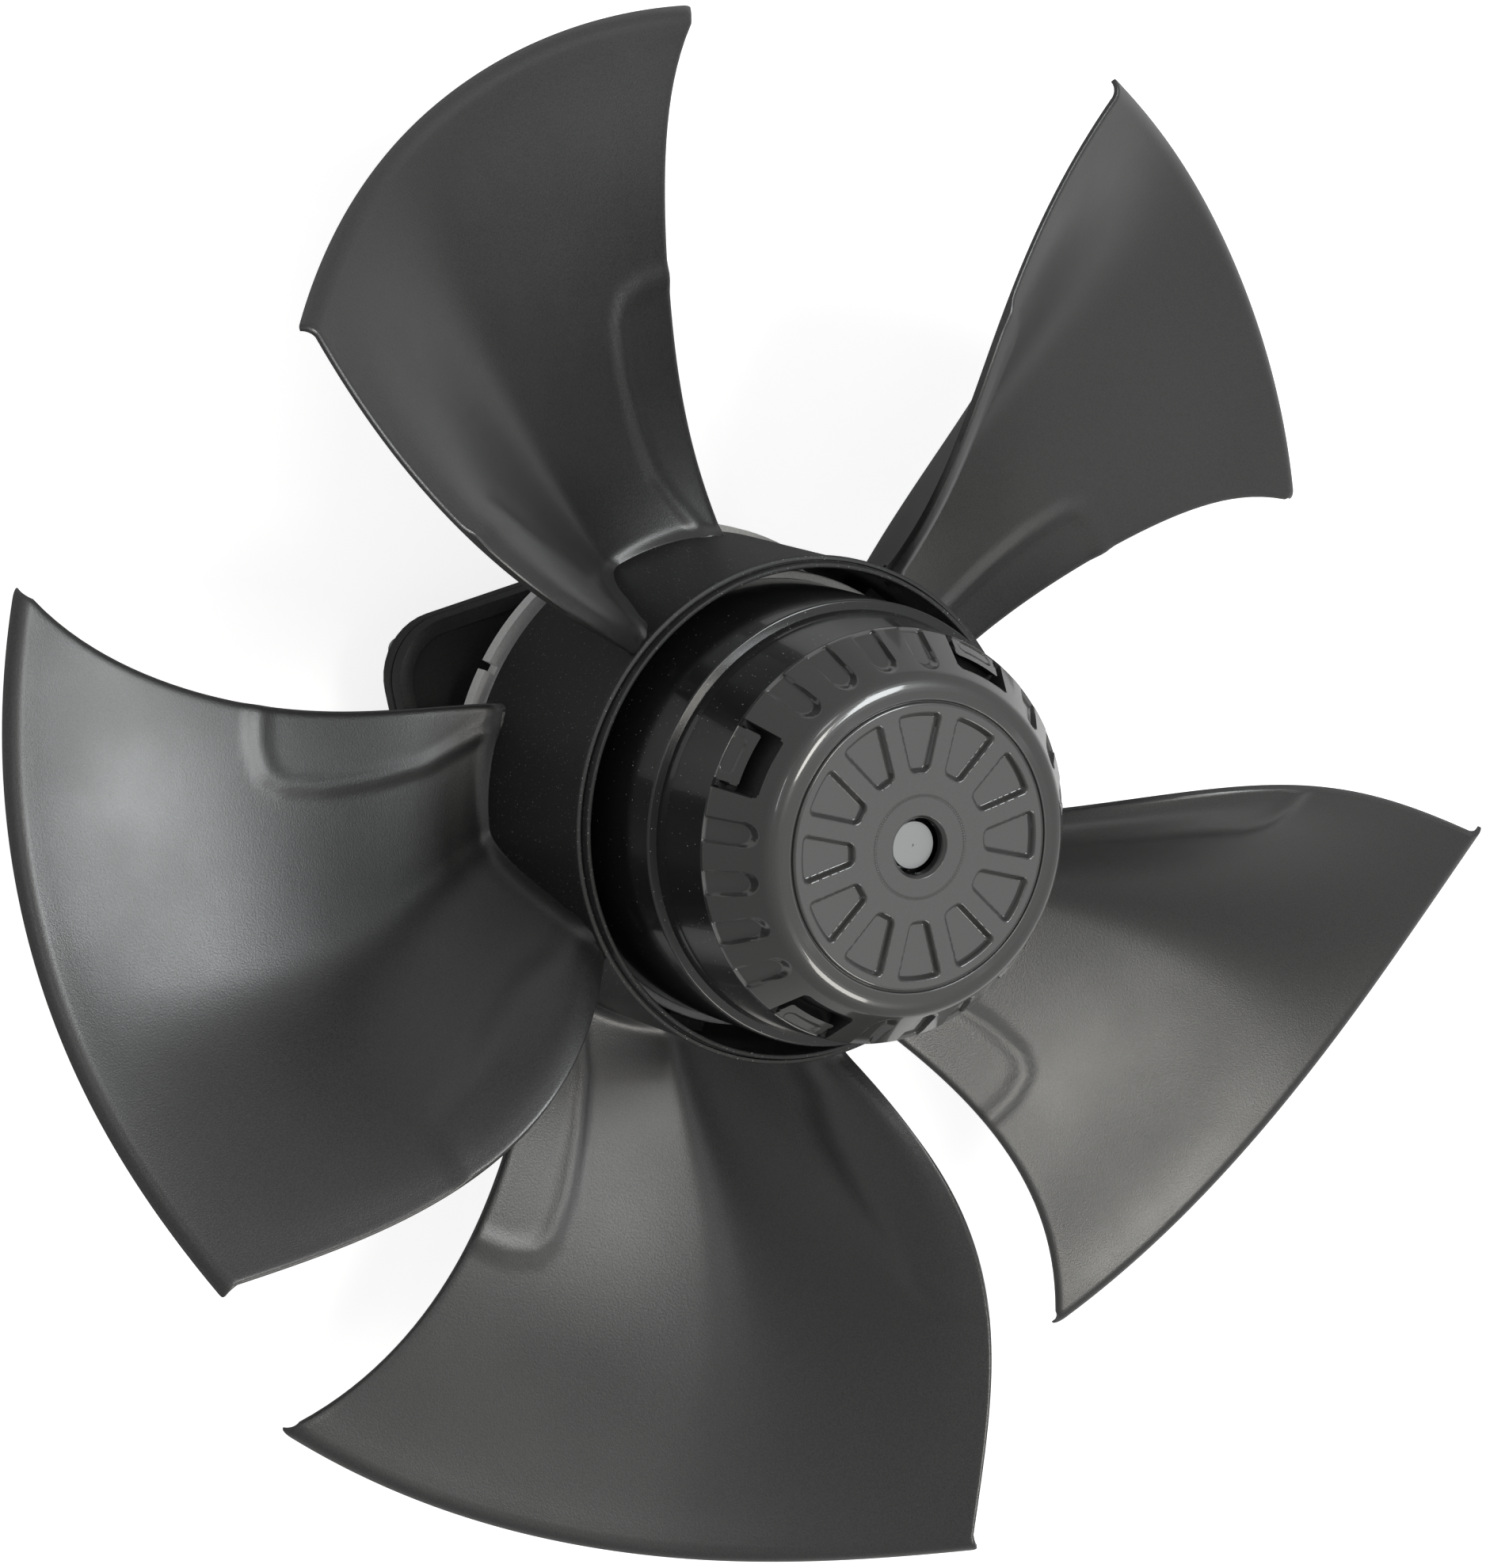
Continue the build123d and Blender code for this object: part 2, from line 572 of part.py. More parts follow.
def gland_nut():
    """Clamping nut of the gland, with the opening for the cable."""
    section = hexagon(GLAND_FLATS) - Circle(GLAND_BORE_RADIUS)
    return on_gland_axis(section, GLAND_BODY_LENGTH, GLAND_BODY_LENGTH + GLAND_NUT_LENGTH)


def gland_locknut():
    """Locknut of the gland, inside the box."""
    section = hexagon(GLAND_FLATS) - gland_thread()
    return on_gland_axis(section, -COVER_WALL - LOCKNUT_THICKNESS, -COVER_WALL)


def terminal_strip():
    """Terminal strip on the base, with a screw well for each pole."""
    strip = Pos(0, STRIP_PLACE, BASE_REAR - STRIP_HEIGHT / 2) * Box(STRIP_LENGTH, STRIP_WIDTH, STRIP_HEIGHT)
    pitch = STRIP_LENGTH / STRIP_POLES
    wells = [
        Pos((i + 0.5) * pitch - STRIP_LENGTH / 2, STRIP_PLACE, BASE_REAR - STRIP_HEIGHT)
        * Box(WELL_WIDTH, WELL_WIDTH, 2 * WELL_DEPTH)
        for i in range(STRIP_POLES)
    ]
    return strip - wells


def earth_terminal():
    """Earth terminal block on the base, with the hole for its screw."""
    block = Pos(*EARTH_PLACE, BASE_REAR - EARTH_BLOCK / 2) * Box(EARTH_BLOCK, EARTH_BLOCK, EARTH_BLOCK)
    return block - earth_screw()


def earth_screw():
    """Screw of the earth terminal."""
    face = BASE_REAR - EARTH_BLOCK
    head = prism(SCREW_HEAD_RADIUS, SCREW_SIDES, face - SCREW_HEAD_HEIGHT, face)
    return Pos(*EARTH_PLACE) * (head + prism(SCREW_RADIUS, SCREW_SIDES, face, BASE_REAR - SCREW_BITE))


PIECES = (
    impeller,
    hub_carrier,
    rotor_can,
    rotor_core,
    rotor_cap,
    shaft,
    shaft_bearings,
    stator_flange,
    stator_core,
    stator_winding,
    terminal_box_base,
    cover_gasket,
    terminal_box_cover,
    cover_screws,
    gland_body,
    gland_nut,
    gland_locknut,
    terminal_strip,
    earth_terminal,
    earth_screw,
)

os.makedirs("parts", exist_ok=True)
for piece in PIECES:
    export_step(piece(), "parts/" + piece.__name__ + ".step")
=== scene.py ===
import math

import bpy
import numpy as np
from mathutils import Matrix, Vector


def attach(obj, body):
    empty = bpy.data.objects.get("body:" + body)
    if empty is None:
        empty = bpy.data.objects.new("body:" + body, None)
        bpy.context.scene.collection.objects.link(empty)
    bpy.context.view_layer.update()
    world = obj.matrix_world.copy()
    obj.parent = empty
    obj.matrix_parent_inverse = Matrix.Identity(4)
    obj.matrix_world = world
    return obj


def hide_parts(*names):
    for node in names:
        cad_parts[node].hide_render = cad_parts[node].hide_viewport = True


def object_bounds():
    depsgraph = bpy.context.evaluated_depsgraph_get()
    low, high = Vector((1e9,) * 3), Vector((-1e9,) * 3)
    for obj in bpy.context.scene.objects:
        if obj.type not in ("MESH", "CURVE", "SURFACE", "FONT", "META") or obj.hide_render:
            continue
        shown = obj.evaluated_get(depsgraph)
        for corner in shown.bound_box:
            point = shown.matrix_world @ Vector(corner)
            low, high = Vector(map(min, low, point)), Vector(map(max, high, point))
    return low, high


# Looks of the axial fan. Shapes are worked out in millimetres in the row's frame and stored in metres.
# A profile is a list of (radius, height), and a third number is the radius that rounds the corner.
MM = 0.001
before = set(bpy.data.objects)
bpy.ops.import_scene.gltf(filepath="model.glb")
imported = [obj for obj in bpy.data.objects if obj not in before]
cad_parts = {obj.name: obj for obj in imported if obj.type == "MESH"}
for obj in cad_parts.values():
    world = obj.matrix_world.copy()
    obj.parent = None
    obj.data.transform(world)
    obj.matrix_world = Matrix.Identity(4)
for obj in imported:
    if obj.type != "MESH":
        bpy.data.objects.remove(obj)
cad_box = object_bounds()


# ---------------------------------------------------------------- materials
# Grains are in features per metre and bump depths in metres.
SLOW_GRAIN = 14.0
SPECK_COLOR = (0.5, 0.5, 0.5)
SPECK_LEVELS = (0.80, 0.84)
SPECK_DEPTH = 0.00006
RING_DEPTH = 0.00002
PEEL_GRAIN = 260.0
PEEL_DEPTH = 0.00003
DUST_GRAIN = 1900.0
DUST_COLOR = (0.45, 0.45, 0.45)
DUST_LEVELS = (0.83, 0.86)
WIRE_GRAIN = 700.0
WIRE_DEPTH = 0.0003
WIRE_SHADE = (0.25, 0.08, 0.02)
SHEET_GRAIN = 900.0
SHEET_DEPTH = 0.0001
SHEET_SHADE = (0.12, 0.12, 0.13)


def node_material(name, color, roughness, metallic=0.0):
    """Principled material with object coordinates at hand; returns it with its parts."""
    material = bpy.data.materials.new(name)
    material.use_nodes = True
    nodes, links = material.node_tree.nodes, material.node_tree.links
    shader = nodes["Principled BSDF"]
    shader.inputs["Base Color"].default_value = (*color, 1)
    shader.inputs["Roughness"].default_value = roughness
    shader.inputs["Metallic"].default_value = metallic
    place = nodes.new("ShaderNodeTexCoord").outputs["Object"]
    return material, nodes, links, shader, place


def noise(nodes, links, place, scale, detail=2.0, stretch=None):
    """Noise factor over object coordinates; scale is in features per metre."""
    texture = nodes.new("ShaderNodeTexNoise")
    texture.inputs["Scale"].default_value = scale
    texture.inputs["Detail"].default_value = detail
    source = place
    if stretch:
        mapping = nodes.new("ShaderNodeMapping")
        mapping.inputs["Scale"].default_value = stretch
        links.new(place, mapping.inputs["Vector"])
        source = mapping.outputs["Vector"]
    links.new(source, texture.inputs["Vector"])
    return texture.outputs["Fac"]


def remap(nodes, links, factor, low, high, start=0.3, end=0.7):
    """Factor spread between two values."""
    step = nodes.new("ShaderNodeMapRange")
    step.inputs["From Min"].default_value = start
    step.inputs["From Max"].default_value = end
    step.inputs["To Min"].default_value = low
    step.inputs["To Max"].default_value = high
    links.new(factor, step.inputs["Value"])
    return step.outputs["Result"]


def blend_colors(nodes, links, factor, low, high):
    """Colour that runs from low to high with the factor."""
    mix = nodes.new("ShaderNodeMix")
    mix.data_type = "RGBA"
    mix.inputs["A"].default_value = (*low, 1)
    mix.inputs["B"].default_value = (*high, 1)
    links.new(factor, mix.inputs["Factor"])
    return mix.outputs["Result"]


def bump(nodes, links, shader, factor, depth, strength=1.0):
    """Bump of a depth in metres."""
    node = nodes.new("ShaderNodeBump")
    node.inputs["Strength"].default_value = strength
    node.inputs["Distance"].default_value = depth
    links.new(factor, node.inputs["Height"])
    links.new(node.outputs["Normal"], shader.inputs["Normal"])


def tune(material, setting, value):
    """One setting of a material's shader."""
    material.node_tree.nodes["Principled BSDF"].inputs[setting].default_value = value


def grained(name, dark, light, roughness, grain, depth, unevenness=0.06):
    """Moulded or cast surface: fine grain in bump and tone, slow changes of gloss."""
    material, nodes, links, shader, place = node_material(name, dark, roughness)
    fine = noise(nodes, links, place, grain, 3.0)
    slow = noise(nodes, links, place, SLOW_GRAIN, 3.0)
    tone = remap(nodes, links, fine, 0.0, 1.0, 0.35, 0.65)
    links.new(blend_colors(nodes, links, tone, dark, light), shader.inputs["Base Color"])
    gloss = remap(nodes, links, slow, roughness - unevenness, roughness + unevenness)
    links.new(gloss, shader.inputs["Roughness"])
    bump(nodes, links, shader, fine, depth)
    return material


def speckled(name, dark, light, roughness, grain):
    """Coarse sparkling moulded surface: grain with rare pale specks."""
    material, nodes, links, shader, place = node_material(name, dark, roughness)
    fine = noise(nodes, links, place, grain, 2.0)
    specks = noise(nodes, links, place, grain * 1.7, 0.0)
    tone = blend_colors(nodes, links, remap(nodes, links, fine, 0, 1), dark, light)
    rare = remap(nodes, links, specks, 0.0, 1.0, *SPECK_LEVELS)
    mix = nodes.new("ShaderNodeMix")
    mix.data_type = "RGBA"
    links.new(tone, mix.inputs["A"])
    mix.inputs["B"].default_value = (*SPECK_COLOR, 1)
    links.new(rare, mix.inputs["Factor"])
    links.new(mix.outputs["Result"], shader.inputs["Base Color"])
    bump(nodes, links, shader, fine, SPECK_DEPTH)
    return material


def brushed(name, color, roughness, grain):
    """Turned or ground metal with fine rings about the shaft."""
    material, nodes, links, shader, place = node_material(name, color, roughness, 1.0)
    split = nodes.new("ShaderNodeSeparateXYZ")
    links.new(place, split.inputs["Vector"])
    length = nodes.new("ShaderNodeVectorMath")
    length.operation = "LENGTH"
    flat = nodes.new("ShaderNodeCombineXYZ")
    links.new(split.outputs["X"], flat.inputs["X"])
    links.new(split.outputs["Y"], flat.inputs["Y"])
    links.new(flat.outputs["Vector"], length.inputs[0])
    line = nodes.new("ShaderNodeCombineXYZ")
    links.new(length.outputs["Value"], line.inputs["X"])
    links.new(split.outputs["Z"], line.inputs["Z"])
    rings = noise(nodes, links, line.outputs["Vector"], grain, 2.0)
    links.new(remap(nodes, links, rings, roughness - 0.06, roughness + 0.08), shader.inputs["Roughness"])
    bump(nodes, links, shader, rings, RING_DEPTH)
    return material


def gloss_paint(name, color, roughness):
    """Gloss enamel with a little orange peel and dust."""
    material, nodes, links, shader, place = node_material(name, color, roughness)
    shader.inputs["Coat Weight"].default_value = 0.35
    shader.inputs["Coat Roughness"].default_value = 0.06
    peel = noise(nodes, links, place, PEEL_GRAIN, 2.0)
    dust = remap(nodes, links, noise(nodes, links, place, DUST_GRAIN, 0.0), 0.0, 1.0, *DUST_LEVELS)
    links.new(blend_colors(nodes, links, dust, color, DUST_COLOR), shader.inputs["Base Color"])
    bump(nodes, links, shader, peel, PEEL_DEPTH, 0.6)
    return material


def wound(name, color):
    """Varnished winding: wires side by side."""
    material, nodes, links, shader, place = node_material(name, color, 0.35, 0.6)
    wires = noise(nodes, links, place, WIRE_GRAIN, 1.0, (0.15, 0.15, 1.0))
    links.new(blend_colors(nodes, links, wires, WIRE_SHADE, color), shader.inputs["Base Color"])
    bump(nodes, links, shader, wires, WIRE_DEPTH)
    return material


def laminated(name, color):
    """Stack of sheets: thin lines across the stack."""
    material, nodes, links, shader, place = node_material(name, color, 0.45, 0.8)
    sheets = noise(nodes, links, place, SHEET_GRAIN, 0.0, (0.02, 0.02, 1.0))
    links.new(blend_colors(nodes, links, sheets, SHEET_SHADE, color), shader.inputs["Base Color"])
    bump(nodes, links, shader, sheets, SHEET_DEPTH)
    return material


BLADE = grained("blade_plastic", (0.011, 0.011, 0.011), (0.025, 0.025, 0.0245), 0.36, 1800.0, 0.00006)
HUB = speckled("hub_plastic", (0.009, 0.009, 0.0092), (0.017, 0.017, 0.017), 0.55, 1600.0)
PAINT = gloss_paint("rotor_paint", (0.010, 0.010, 0.0105), 0.22)
CAP = grained("cap_plastic", (0.028, 0.028, 0.0268), (0.034, 0.034, 0.0327), 0.30, 2200.0, 0.000006, 0.02)
# Darker cap plastic, painted shade: it stands for the dark inside of the open latch windows.
CAP_HOLE_SHADE = grained("cap_hole_painted_shade", (0.016, 0.016, 0.016), (0.022, 0.022, 0.022), 0.6, 1500.0, 0.00002)
CAST = grained("cast_aluminium", (0.74, 0.74, 0.73), (0.82, 0.82, 0.81), 0.45, 1300.0, 0.00004)
BOX = grained("box_plastic", (0.022, 0.022, 0.0225), (0.034, 0.034, 0.034), 0.5, 1700.0, 0.00004)
GLAND = grained("gland_plastic", (0.022, 0.022, 0.022), (0.03, 0.03, 0.03), 0.4, 900.0, 0.00002)
RUBBER = grained("gasket_rubber", (0.012, 0.012, 0.012), (0.018, 0.018, 0.018), 0.75, 1200.0, 0.00003)
STRIP = grained("strip_plastic", (0.6, 0.6, 0.56), (0.66, 0.66, 0.62), 0.4, 900.0, 0.00002)
STEEL = brushed("ground_steel", (0.30, 0.305, 0.31), 0.5, 4000.0)
SCREW = brushed("zinc_steel", (0.55, 0.56, 0.58), 0.32, 2500.0)
BRASS = brushed("earth_brass", (0.6, 0.43, 0.16), 0.35, 2500.0)
COPPER = wound("winding_copper", (0.5, 0.2, 0.07))
SHEETS = laminated("lamination_steel", (0.4, 0.4, 0.41))
tune(BLADE, "Specular IOR Level", 0.9)
tune(CAP, "Coat Weight", 1.0)
tune(CAP, "Coat Roughness", 0.07)
# The painted shade inside the latch windows also gets little gloss.
tune(CAP_HOLE_SHADE, "Specular IOR Level", 0.1)


# ---------------------------------------------------------------- mesh helpers
SMALLEST_CORNER = 0.4


def piece(name, points, faces, materials, body, slot, replaces=(), sharp=32.0, pick=None):
    """Object from points in millimetres, riding on a body."""
    mesh = bpy.data.meshes.new(name)
    mesh.from_pydata([(x * MM, y * MM, z * MM) for x, y, z in points], [], faces)
    for material in materials:
        mesh.materials.append(material)
    if pick is not None:
        mesh.polygons.foreach_set("material_index", pick)
    mesh.update()
    mesh.shade_smooth()
    mesh.set_sharp_from_angle(angle=math.radians(sharp))
    made = bpy.data.objects.new(name, mesh)
    bpy.context.scene.collection.objects.link(made)
    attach(made, body)
    if replaces:
        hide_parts(*replaces)


def grid_faces(rows, columns, wrap_rows=False):
    """Quads of a grid of points stored row by row, where each row closes on itself."""
    faces = []
    for i in range(rows if wrap_rows else rows - 1):
        this, following = i * columns, (i + 1) % rows * columns
        for j in range(columns):
            k = (j + 1) % columns
            faces.append((this + j, this + k, following + k, following + j))
    return faces


def end_faces(rows, columns):
    """Faces that close the first and the last row of such a grid."""
    return [tuple(reversed(range(columns))), tuple((rows - 1) * columns + j for j in range(columns))]


def join(*parts):
    """Points and faces of several parts as one mesh."""
    points, faces = [], []
    for part_points, part_faces in parts:
        faces += [tuple(len(points) + i for i in face) for face in part_faces]
        points += list(part_points)
    return points, faces


def eased(corners, steps=5, closed=True):
    """Outline with each corner (a, b, radius) rounded by an arc of that radius."""
    made = []
    count = len(corners)
    for i, corner in enumerate(corners):
        here = np.array(corner[:2], float)
        radius = corner[2] if len(corner) > 2 else 0.0
        if radius == 0.0 or (not closed and i in (0, count - 1)):
            made.append(tuple(here))
            continue
        before = np.array(corners[i - 1][:2], float) - here
        after = np.array(corners[(i + 1) % count][:2], float) - here
        a, b = before / np.linalg.norm(before), after / np.linalg.norm(after)
        half = math.acos(max(-1.0, min(1.0, float(a @ b)))) / 2
        reach = radius / math.tan(half)
        centre = here + (a + b) / np.linalg.norm(a + b) * radius / math.sin(half)
        first, last = here + a * reach - centre, here + b * reach - centre
        start = math.atan2(first[1], first[0])
        sweep = (math.atan2(last[1], last[0]) - start + math.pi) % (2 * math.pi) - math.pi
        for k in range(steps + 1):
            turn = start + sweep * k / steps
            made.append((centre[0] + radius * math.cos(turn), centre[1] + radius * math.sin(turn)))
    return made


def turns_about(sides):
    """Evenly spaced angles about the shaft."""
    return np.linspace(0, 2 * math.pi, sides, endpoint=False)


def ring_points(profile, sides):
    """A ring of points about the shaft for each point of a profile."""
    return [(r * math.cos(t), r * math.sin(t), z) for r, z in profile for t in turns_about(sides)]


def turned(profile, sides):
    """Closed profile turned about the shaft."""
    return ring_points(profile, sides), grid_faces(len(profile), sides, wrap_rows=True)


def capped(profile, sides):
    """Profile from one end to the other, turned about the shaft and closed at its ends."""
    return ring_points(profile, sides), grid_faces(len(profile), sides) + end_faces(len(profile), sides)


def rounded_rectangle(width, height, corner, centre, steps):
    """Outline of a rectangle with round corners, anticlockwise."""
    made = []
    for i, (sx, sy) in enumerate(((1, 1), (-1, 1), (-1, -1), (1, -1))):
        for k in range(steps + 1):
            turn = math.pi / 2 * (i + k / steps)
            x = sx * (width / 2 - corner) + corner * math.cos(turn)
            y = sy * (height / 2 - corner) + corner * math.sin(turn)
            made.append((centre[0] + x, centre[1] + y))
    return made


def stacked(width, height, corner, levels, centre=(0.0, 0.0), ring=False, steps=10):
    """Body built of rounded rectangles set in by the levels' (inset, height); a ring closes on itself."""
    points, columns = [], 4 * (steps + 1)
    for inset, z in levels:
        sides = width - 2 * inset, height - 2 * inset
        outline = rounded_rectangle(*sides, max(corner - inset, SMALLEST_CORNER), centre, steps)
        points += [(x, y, z) for x, y in outline]
    faces = grid_faces(len(levels), columns, wrap_rows=ring)
    return points, faces if ring else faces + end_faces(len(levels), columns)


def placed(part, matrix):
    """Part moved by a matrix in millimetres."""
    points, faces = part
    return [tuple(matrix @ Vector(p)) for p in points], faces


def smooth_step(value):
    """Smooth ramp from 0 to 1."""
    value = np.clip(value, 0.0, 1.0)
    return value * value * (3 - 2 * value)


def from_polar(radius, angle, height):
    """Points at radii, angles about the shaft in radians, and heights."""
    return np.stack((radius * np.cos(angle), radius * np.sin(angle), height), -1)


# ---------------------------------------------------------------- blades
TIP_RADIUS = 249.95
HUB_RADIUS = 80.4
HUB_WALL = 2.8
HUB_SIDES = 200
BLADE_TURN = -13.9
BLADE_STEP = -72.0
# Angles and heights of a blade's two edges at even steps from the hub to the tip.
LEAD_ANGLES = (-4.1, 3.7, 5.6, 4.4, 0.0)
LEAD_HEIGHTS = (20.5, 18.1, 21.5, 18.8, 11.6)
TRAIL_ANGLES = (48.8, 54.1, 54.3, 51.8, 48.5)
TRAIL_HEIGHTS = (79.2, 110.8, 117.0, 112.2, 107.3)
# How a section climbs: its camber at the tip, and the chord shares between which it climbs at the root.
TIP_CAMBER = 0.4
ROOT_RISE = (0.53, 0.97)
ROOT_RISE_POWER = 1.25
CAMBER_BLEND = 0.6
EDGE_THICKNESS = 1.7
BLADE_THICKNESS = 3.2
TIP_ROLL_RADIUS = 6.0
TIP_ROLL_ANGLE = 70.0
TIP_ROLL_ROWS = 8
SPAN = TIP_RADIUS - HUB_RADIUS
ROLL_FROM = SPAN - TIP_ROLL_RADIUS
# The leading corner of the tip runs out past the edge by this much, mostly at the end of the roll.
CORNER_FLARE = 3.0
FLARE_POWER = 1.7
# The root fillet, the share of its height that is kept, and how it fades towards the blade's edges.
ROOT_FILLET = 4.2
FILLET_SHARE = 0.8
FILLET_FADE = 6.0
FILLET_AT_EDGE = 0.35
NOSE_LENGTH = 4.0
NOSE_DROP = 1.3
TAIL_LENGTH = 1.2
TAIL_DROP = 0.6
# Height of each bead, and of the land between it and the blade's edge.
BEAD_HALF_WIDTH = 6.0
LEAD_BEAD_HEIGHTS = (0.9, 0.35)
TRAIL_BEAD_HEIGHTS = (1.2, 0.8)
# Routes of the two beads of a blade: distance from the hub in millimetres, share of the chord.
LEAD_BEAD = (
    (0, 0.10), (12, 0.165), (22, 0.20), (40, 0.198), (60, 0.19),
    (75, 0.175), (81, 0.15), (84, 0.09), (85, -0.05),
)
TRAIL_BEAD = (
    (0, 0.90), (12, 0.885), (27, 0.85), (45, 0.855), (62, 0.88),
    (76, 0.893), (82, 0.915), (86, 0.97), (88, 1.03),
)
# Rows of the mesh at distances from the hub, and columns near the edges at distances from the edge.
ROOT_ROWS = (-HUB_WALL / 2, 0.0, 0.15, 0.4, 0.8, 1.4, 2.2, 3.2, 4.4)
BEAD_ROWS = (5.8, 94.0, 44)
OUTER_ROWS = (97.0, ROLL_FROM, 16)
LEAD_COLUMNS = np.array([0.0, 0.25, 0.7, 1.4, 2.2, 3.1, 4.2])
TAIL_COLUMNS = np.array([2.4, 1.2, 0.7, 0.3, 0.0])
MIDDLE_COLUMNS = 64


def along_span(values, share):
    """Smooth value at a share of the span, through values evenly spaced from hub to tip."""
    steps = len(values) - 1
    total = np.zeros_like(share)
    for i, value in enumerate(values):
        weight = np.ones_like(share)
        for j in range(steps + 1):
            if j != i:
                weight = weight * (share * steps - j) / (i - j)
        total = total + value * weight
    return total


def rise(chord, span):
    """Share of the climb from leading to trailing edge that is made at this chord share."""
    tip = (1 - TIP_CAMBER) * chord + TIP_CAMBER * chord**3
    step = np.clip((chord - ROOT_RISE[0]) / (ROOT_RISE[1] - ROOT_RISE[0]), 0, 1) ** ROOT_RISE_POWER
    root = step * step * (3 - 2 * step)
    return root + (tip - root) * np.maximum(span, 0.0) ** CAMBER_BLEND


def skin(distance, chord):
    """Points of the front skin at distances from the hub and chord shares."""
    span = distance / SPAN
    radius = HUB_RADIUS + distance
    lead, trail = along_span(LEAD_ANGLES, span), along_span(TRAIL_ANGLES, span)
    low, high = along_span(LEAD_HEIGHTS, span), along_span(TRAIL_HEIGHTS, span)
    angle = np.radians(lead + chord * (trail - lead))
    height = low + rise(chord, span) * (high - low)
    return from_polar(radius, angle, height)


def unit(vectors):
    """Vectors scaled to length one."""
    return vectors / np.linalg.norm(vectors, axis=-1, keepdims=True)


def skin_normal(distance, chord):
    """Unit normals of the front skin, towards the front."""
    outward = skin(distance + 0.1, chord) - skin(distance - 0.1, chord)
    backward = skin(distance, chord + 1e-3) - skin(distance, chord - 1e-3)
    return unit(np.cross(outward, backward))


def chord_length(distance):
    """Rough length of the blade's section at a distance from the hub."""
    ends = [skin(distance, np.full_like(distance, share)) for share in (0.0, 0.5, 1.0)]
    return sum(np.linalg.norm(b - a, axis=-1) for a, b in zip(ends, ends[1:]))


def bead(distance, chord, route, heights, side):
    """Height of a rounded bead along a route, and of the land between it and the blade's edge."""
    crest, land = heights
    spots = np.array(route, float)
    route_x = spots[:, 0]
    route_y = spots[:, 1] * chord_length(route_x)
    x, y = distance, chord * chord_length(distance)
    nearest = np.full_like(x, 1e9)
    for x0, y0, x1, y1 in zip(route_x, route_y, route_x[1:], route_y[1:]):
        run = (x1 - x0) ** 2 + (y1 - y0) ** 2
        share = np.clip(((x - x0) * (x1 - x0) + (y - y0) * (y1 - y0)) / run, 0, 1)
        nearest = np.minimum(nearest, np.hypot(x - x0 - share * (x1 - x0), y - y0 - share * (y1 - y0)))
    hump = 0.5 + 0.5 * np.cos(math.pi * np.clip(nearest / BEAD_HALF_WIDTH, 0, 1))
    beyond = (y - np.interp(x, route_x, route_y)) * side > 0
    enclosed = beyond & (x < route_x[-1])
    return np.where(enclosed, land + (crest - land) * hump, crest * hump)


def edge_drop(offset, length, drop):
    """How far the front skin falls back within a length of an edge, as a quarter ellipse."""
    share = np.clip(1 - offset / length, 0, 1)
    return drop * (1 - np.sqrt(1 - share * share))


def blade_grid():
    """Distance from the hub and chord share of each point of a skin, and the length of each row."""
    rows = np.concatenate((ROOT_ROWS, np.linspace(*BEAD_ROWS), np.linspace(*OUTER_ROWS)))
    length = chord_length(rows)
    middle = np.linspace(0, 1, MIDDLE_COLUMNS + 2)[1:-1]
    columns = []
    for size in length:
        low, high = LEAD_COLUMNS[-1] / size, 1 - TAIL_COLUMNS[0] / size
        lead, tail = LEAD_COLUMNS / size, 1 - TAIL_COLUMNS / size
        columns.append(np.concatenate((lead, low + middle * (high - low), tail)))
    chord = np.array(columns)
    return np.repeat(rows[:, None], chord.shape[1], 1), chord, length[:, None]


def root_fillet(distance, from_edges):
    """How far the skins swell near the hub."""
    within = np.clip(ROOT_FILLET - np.maximum(distance, 0), 0, None)
    swell = ROOT_FILLET - np.sqrt(np.maximum(ROOT_FILLET**2 - within**2, 0))
    swell = np.minimum(swell, ROOT_FILLET * FILLET_SHARE)
    return swell * smooth_step(from_edges / FILLET_FADE + FILLET_AT_EDGE)


def rolled_tip(distance, chord, length, nose, thick):
    """Rows of the front and back skins past the last flat row, rolled back about a line under it."""
    fronts, backs = [], []
    for bend in np.linspace(0, 1, TIP_ROLL_ROWS + 1)[1:]:
        turn = math.radians(TIP_ROLL_ANGLE) * bend
        flared = CORNER_FLARE / length * bend**FLARE_POWER
        share = chord * (1 + flared) - flared
        start, up = skin(distance, share), skin_normal(distance, share)
        radial = unit(start * np.array([1, 1, 0]))
        outward = unit(radial - up * (radial * up).sum(-1, keepdims=True))
        arm = up * math.cos(turn) + outward * math.sin(turn)
        centre = start - up * TIP_ROLL_RADIUS
        fronts.append(centre + arm * (TIP_ROLL_RADIUS - nose)[:, None])
        backs.append(centre + arm * (TIP_ROLL_RADIUS - thick)[:, None])
    return fronts, backs


def skins_closed(fronts, backs):
    """Mesh of a front and a back skin joined along their edges and closed at the root and the tip."""
    loops = [np.concatenate((front, back[::-1])) for front, back in zip(fronts, backs)]
    count = len(fronts[0])
    points = [tuple(p) for loop in loops for p in loop]
    faces = grid_faces(len(loops), 2 * count)
    for row, flip in ((0, True), (len(loops) - 1, False)):
        first = row * 2 * count
        for j in range(count - 1):
            quad = (first + j, first + j + 1, first + 2 * count - 2 - j, first + 2 * count - 1 - j)
            faces.append(quad[::-1] if flip else quad)
    return points, faces


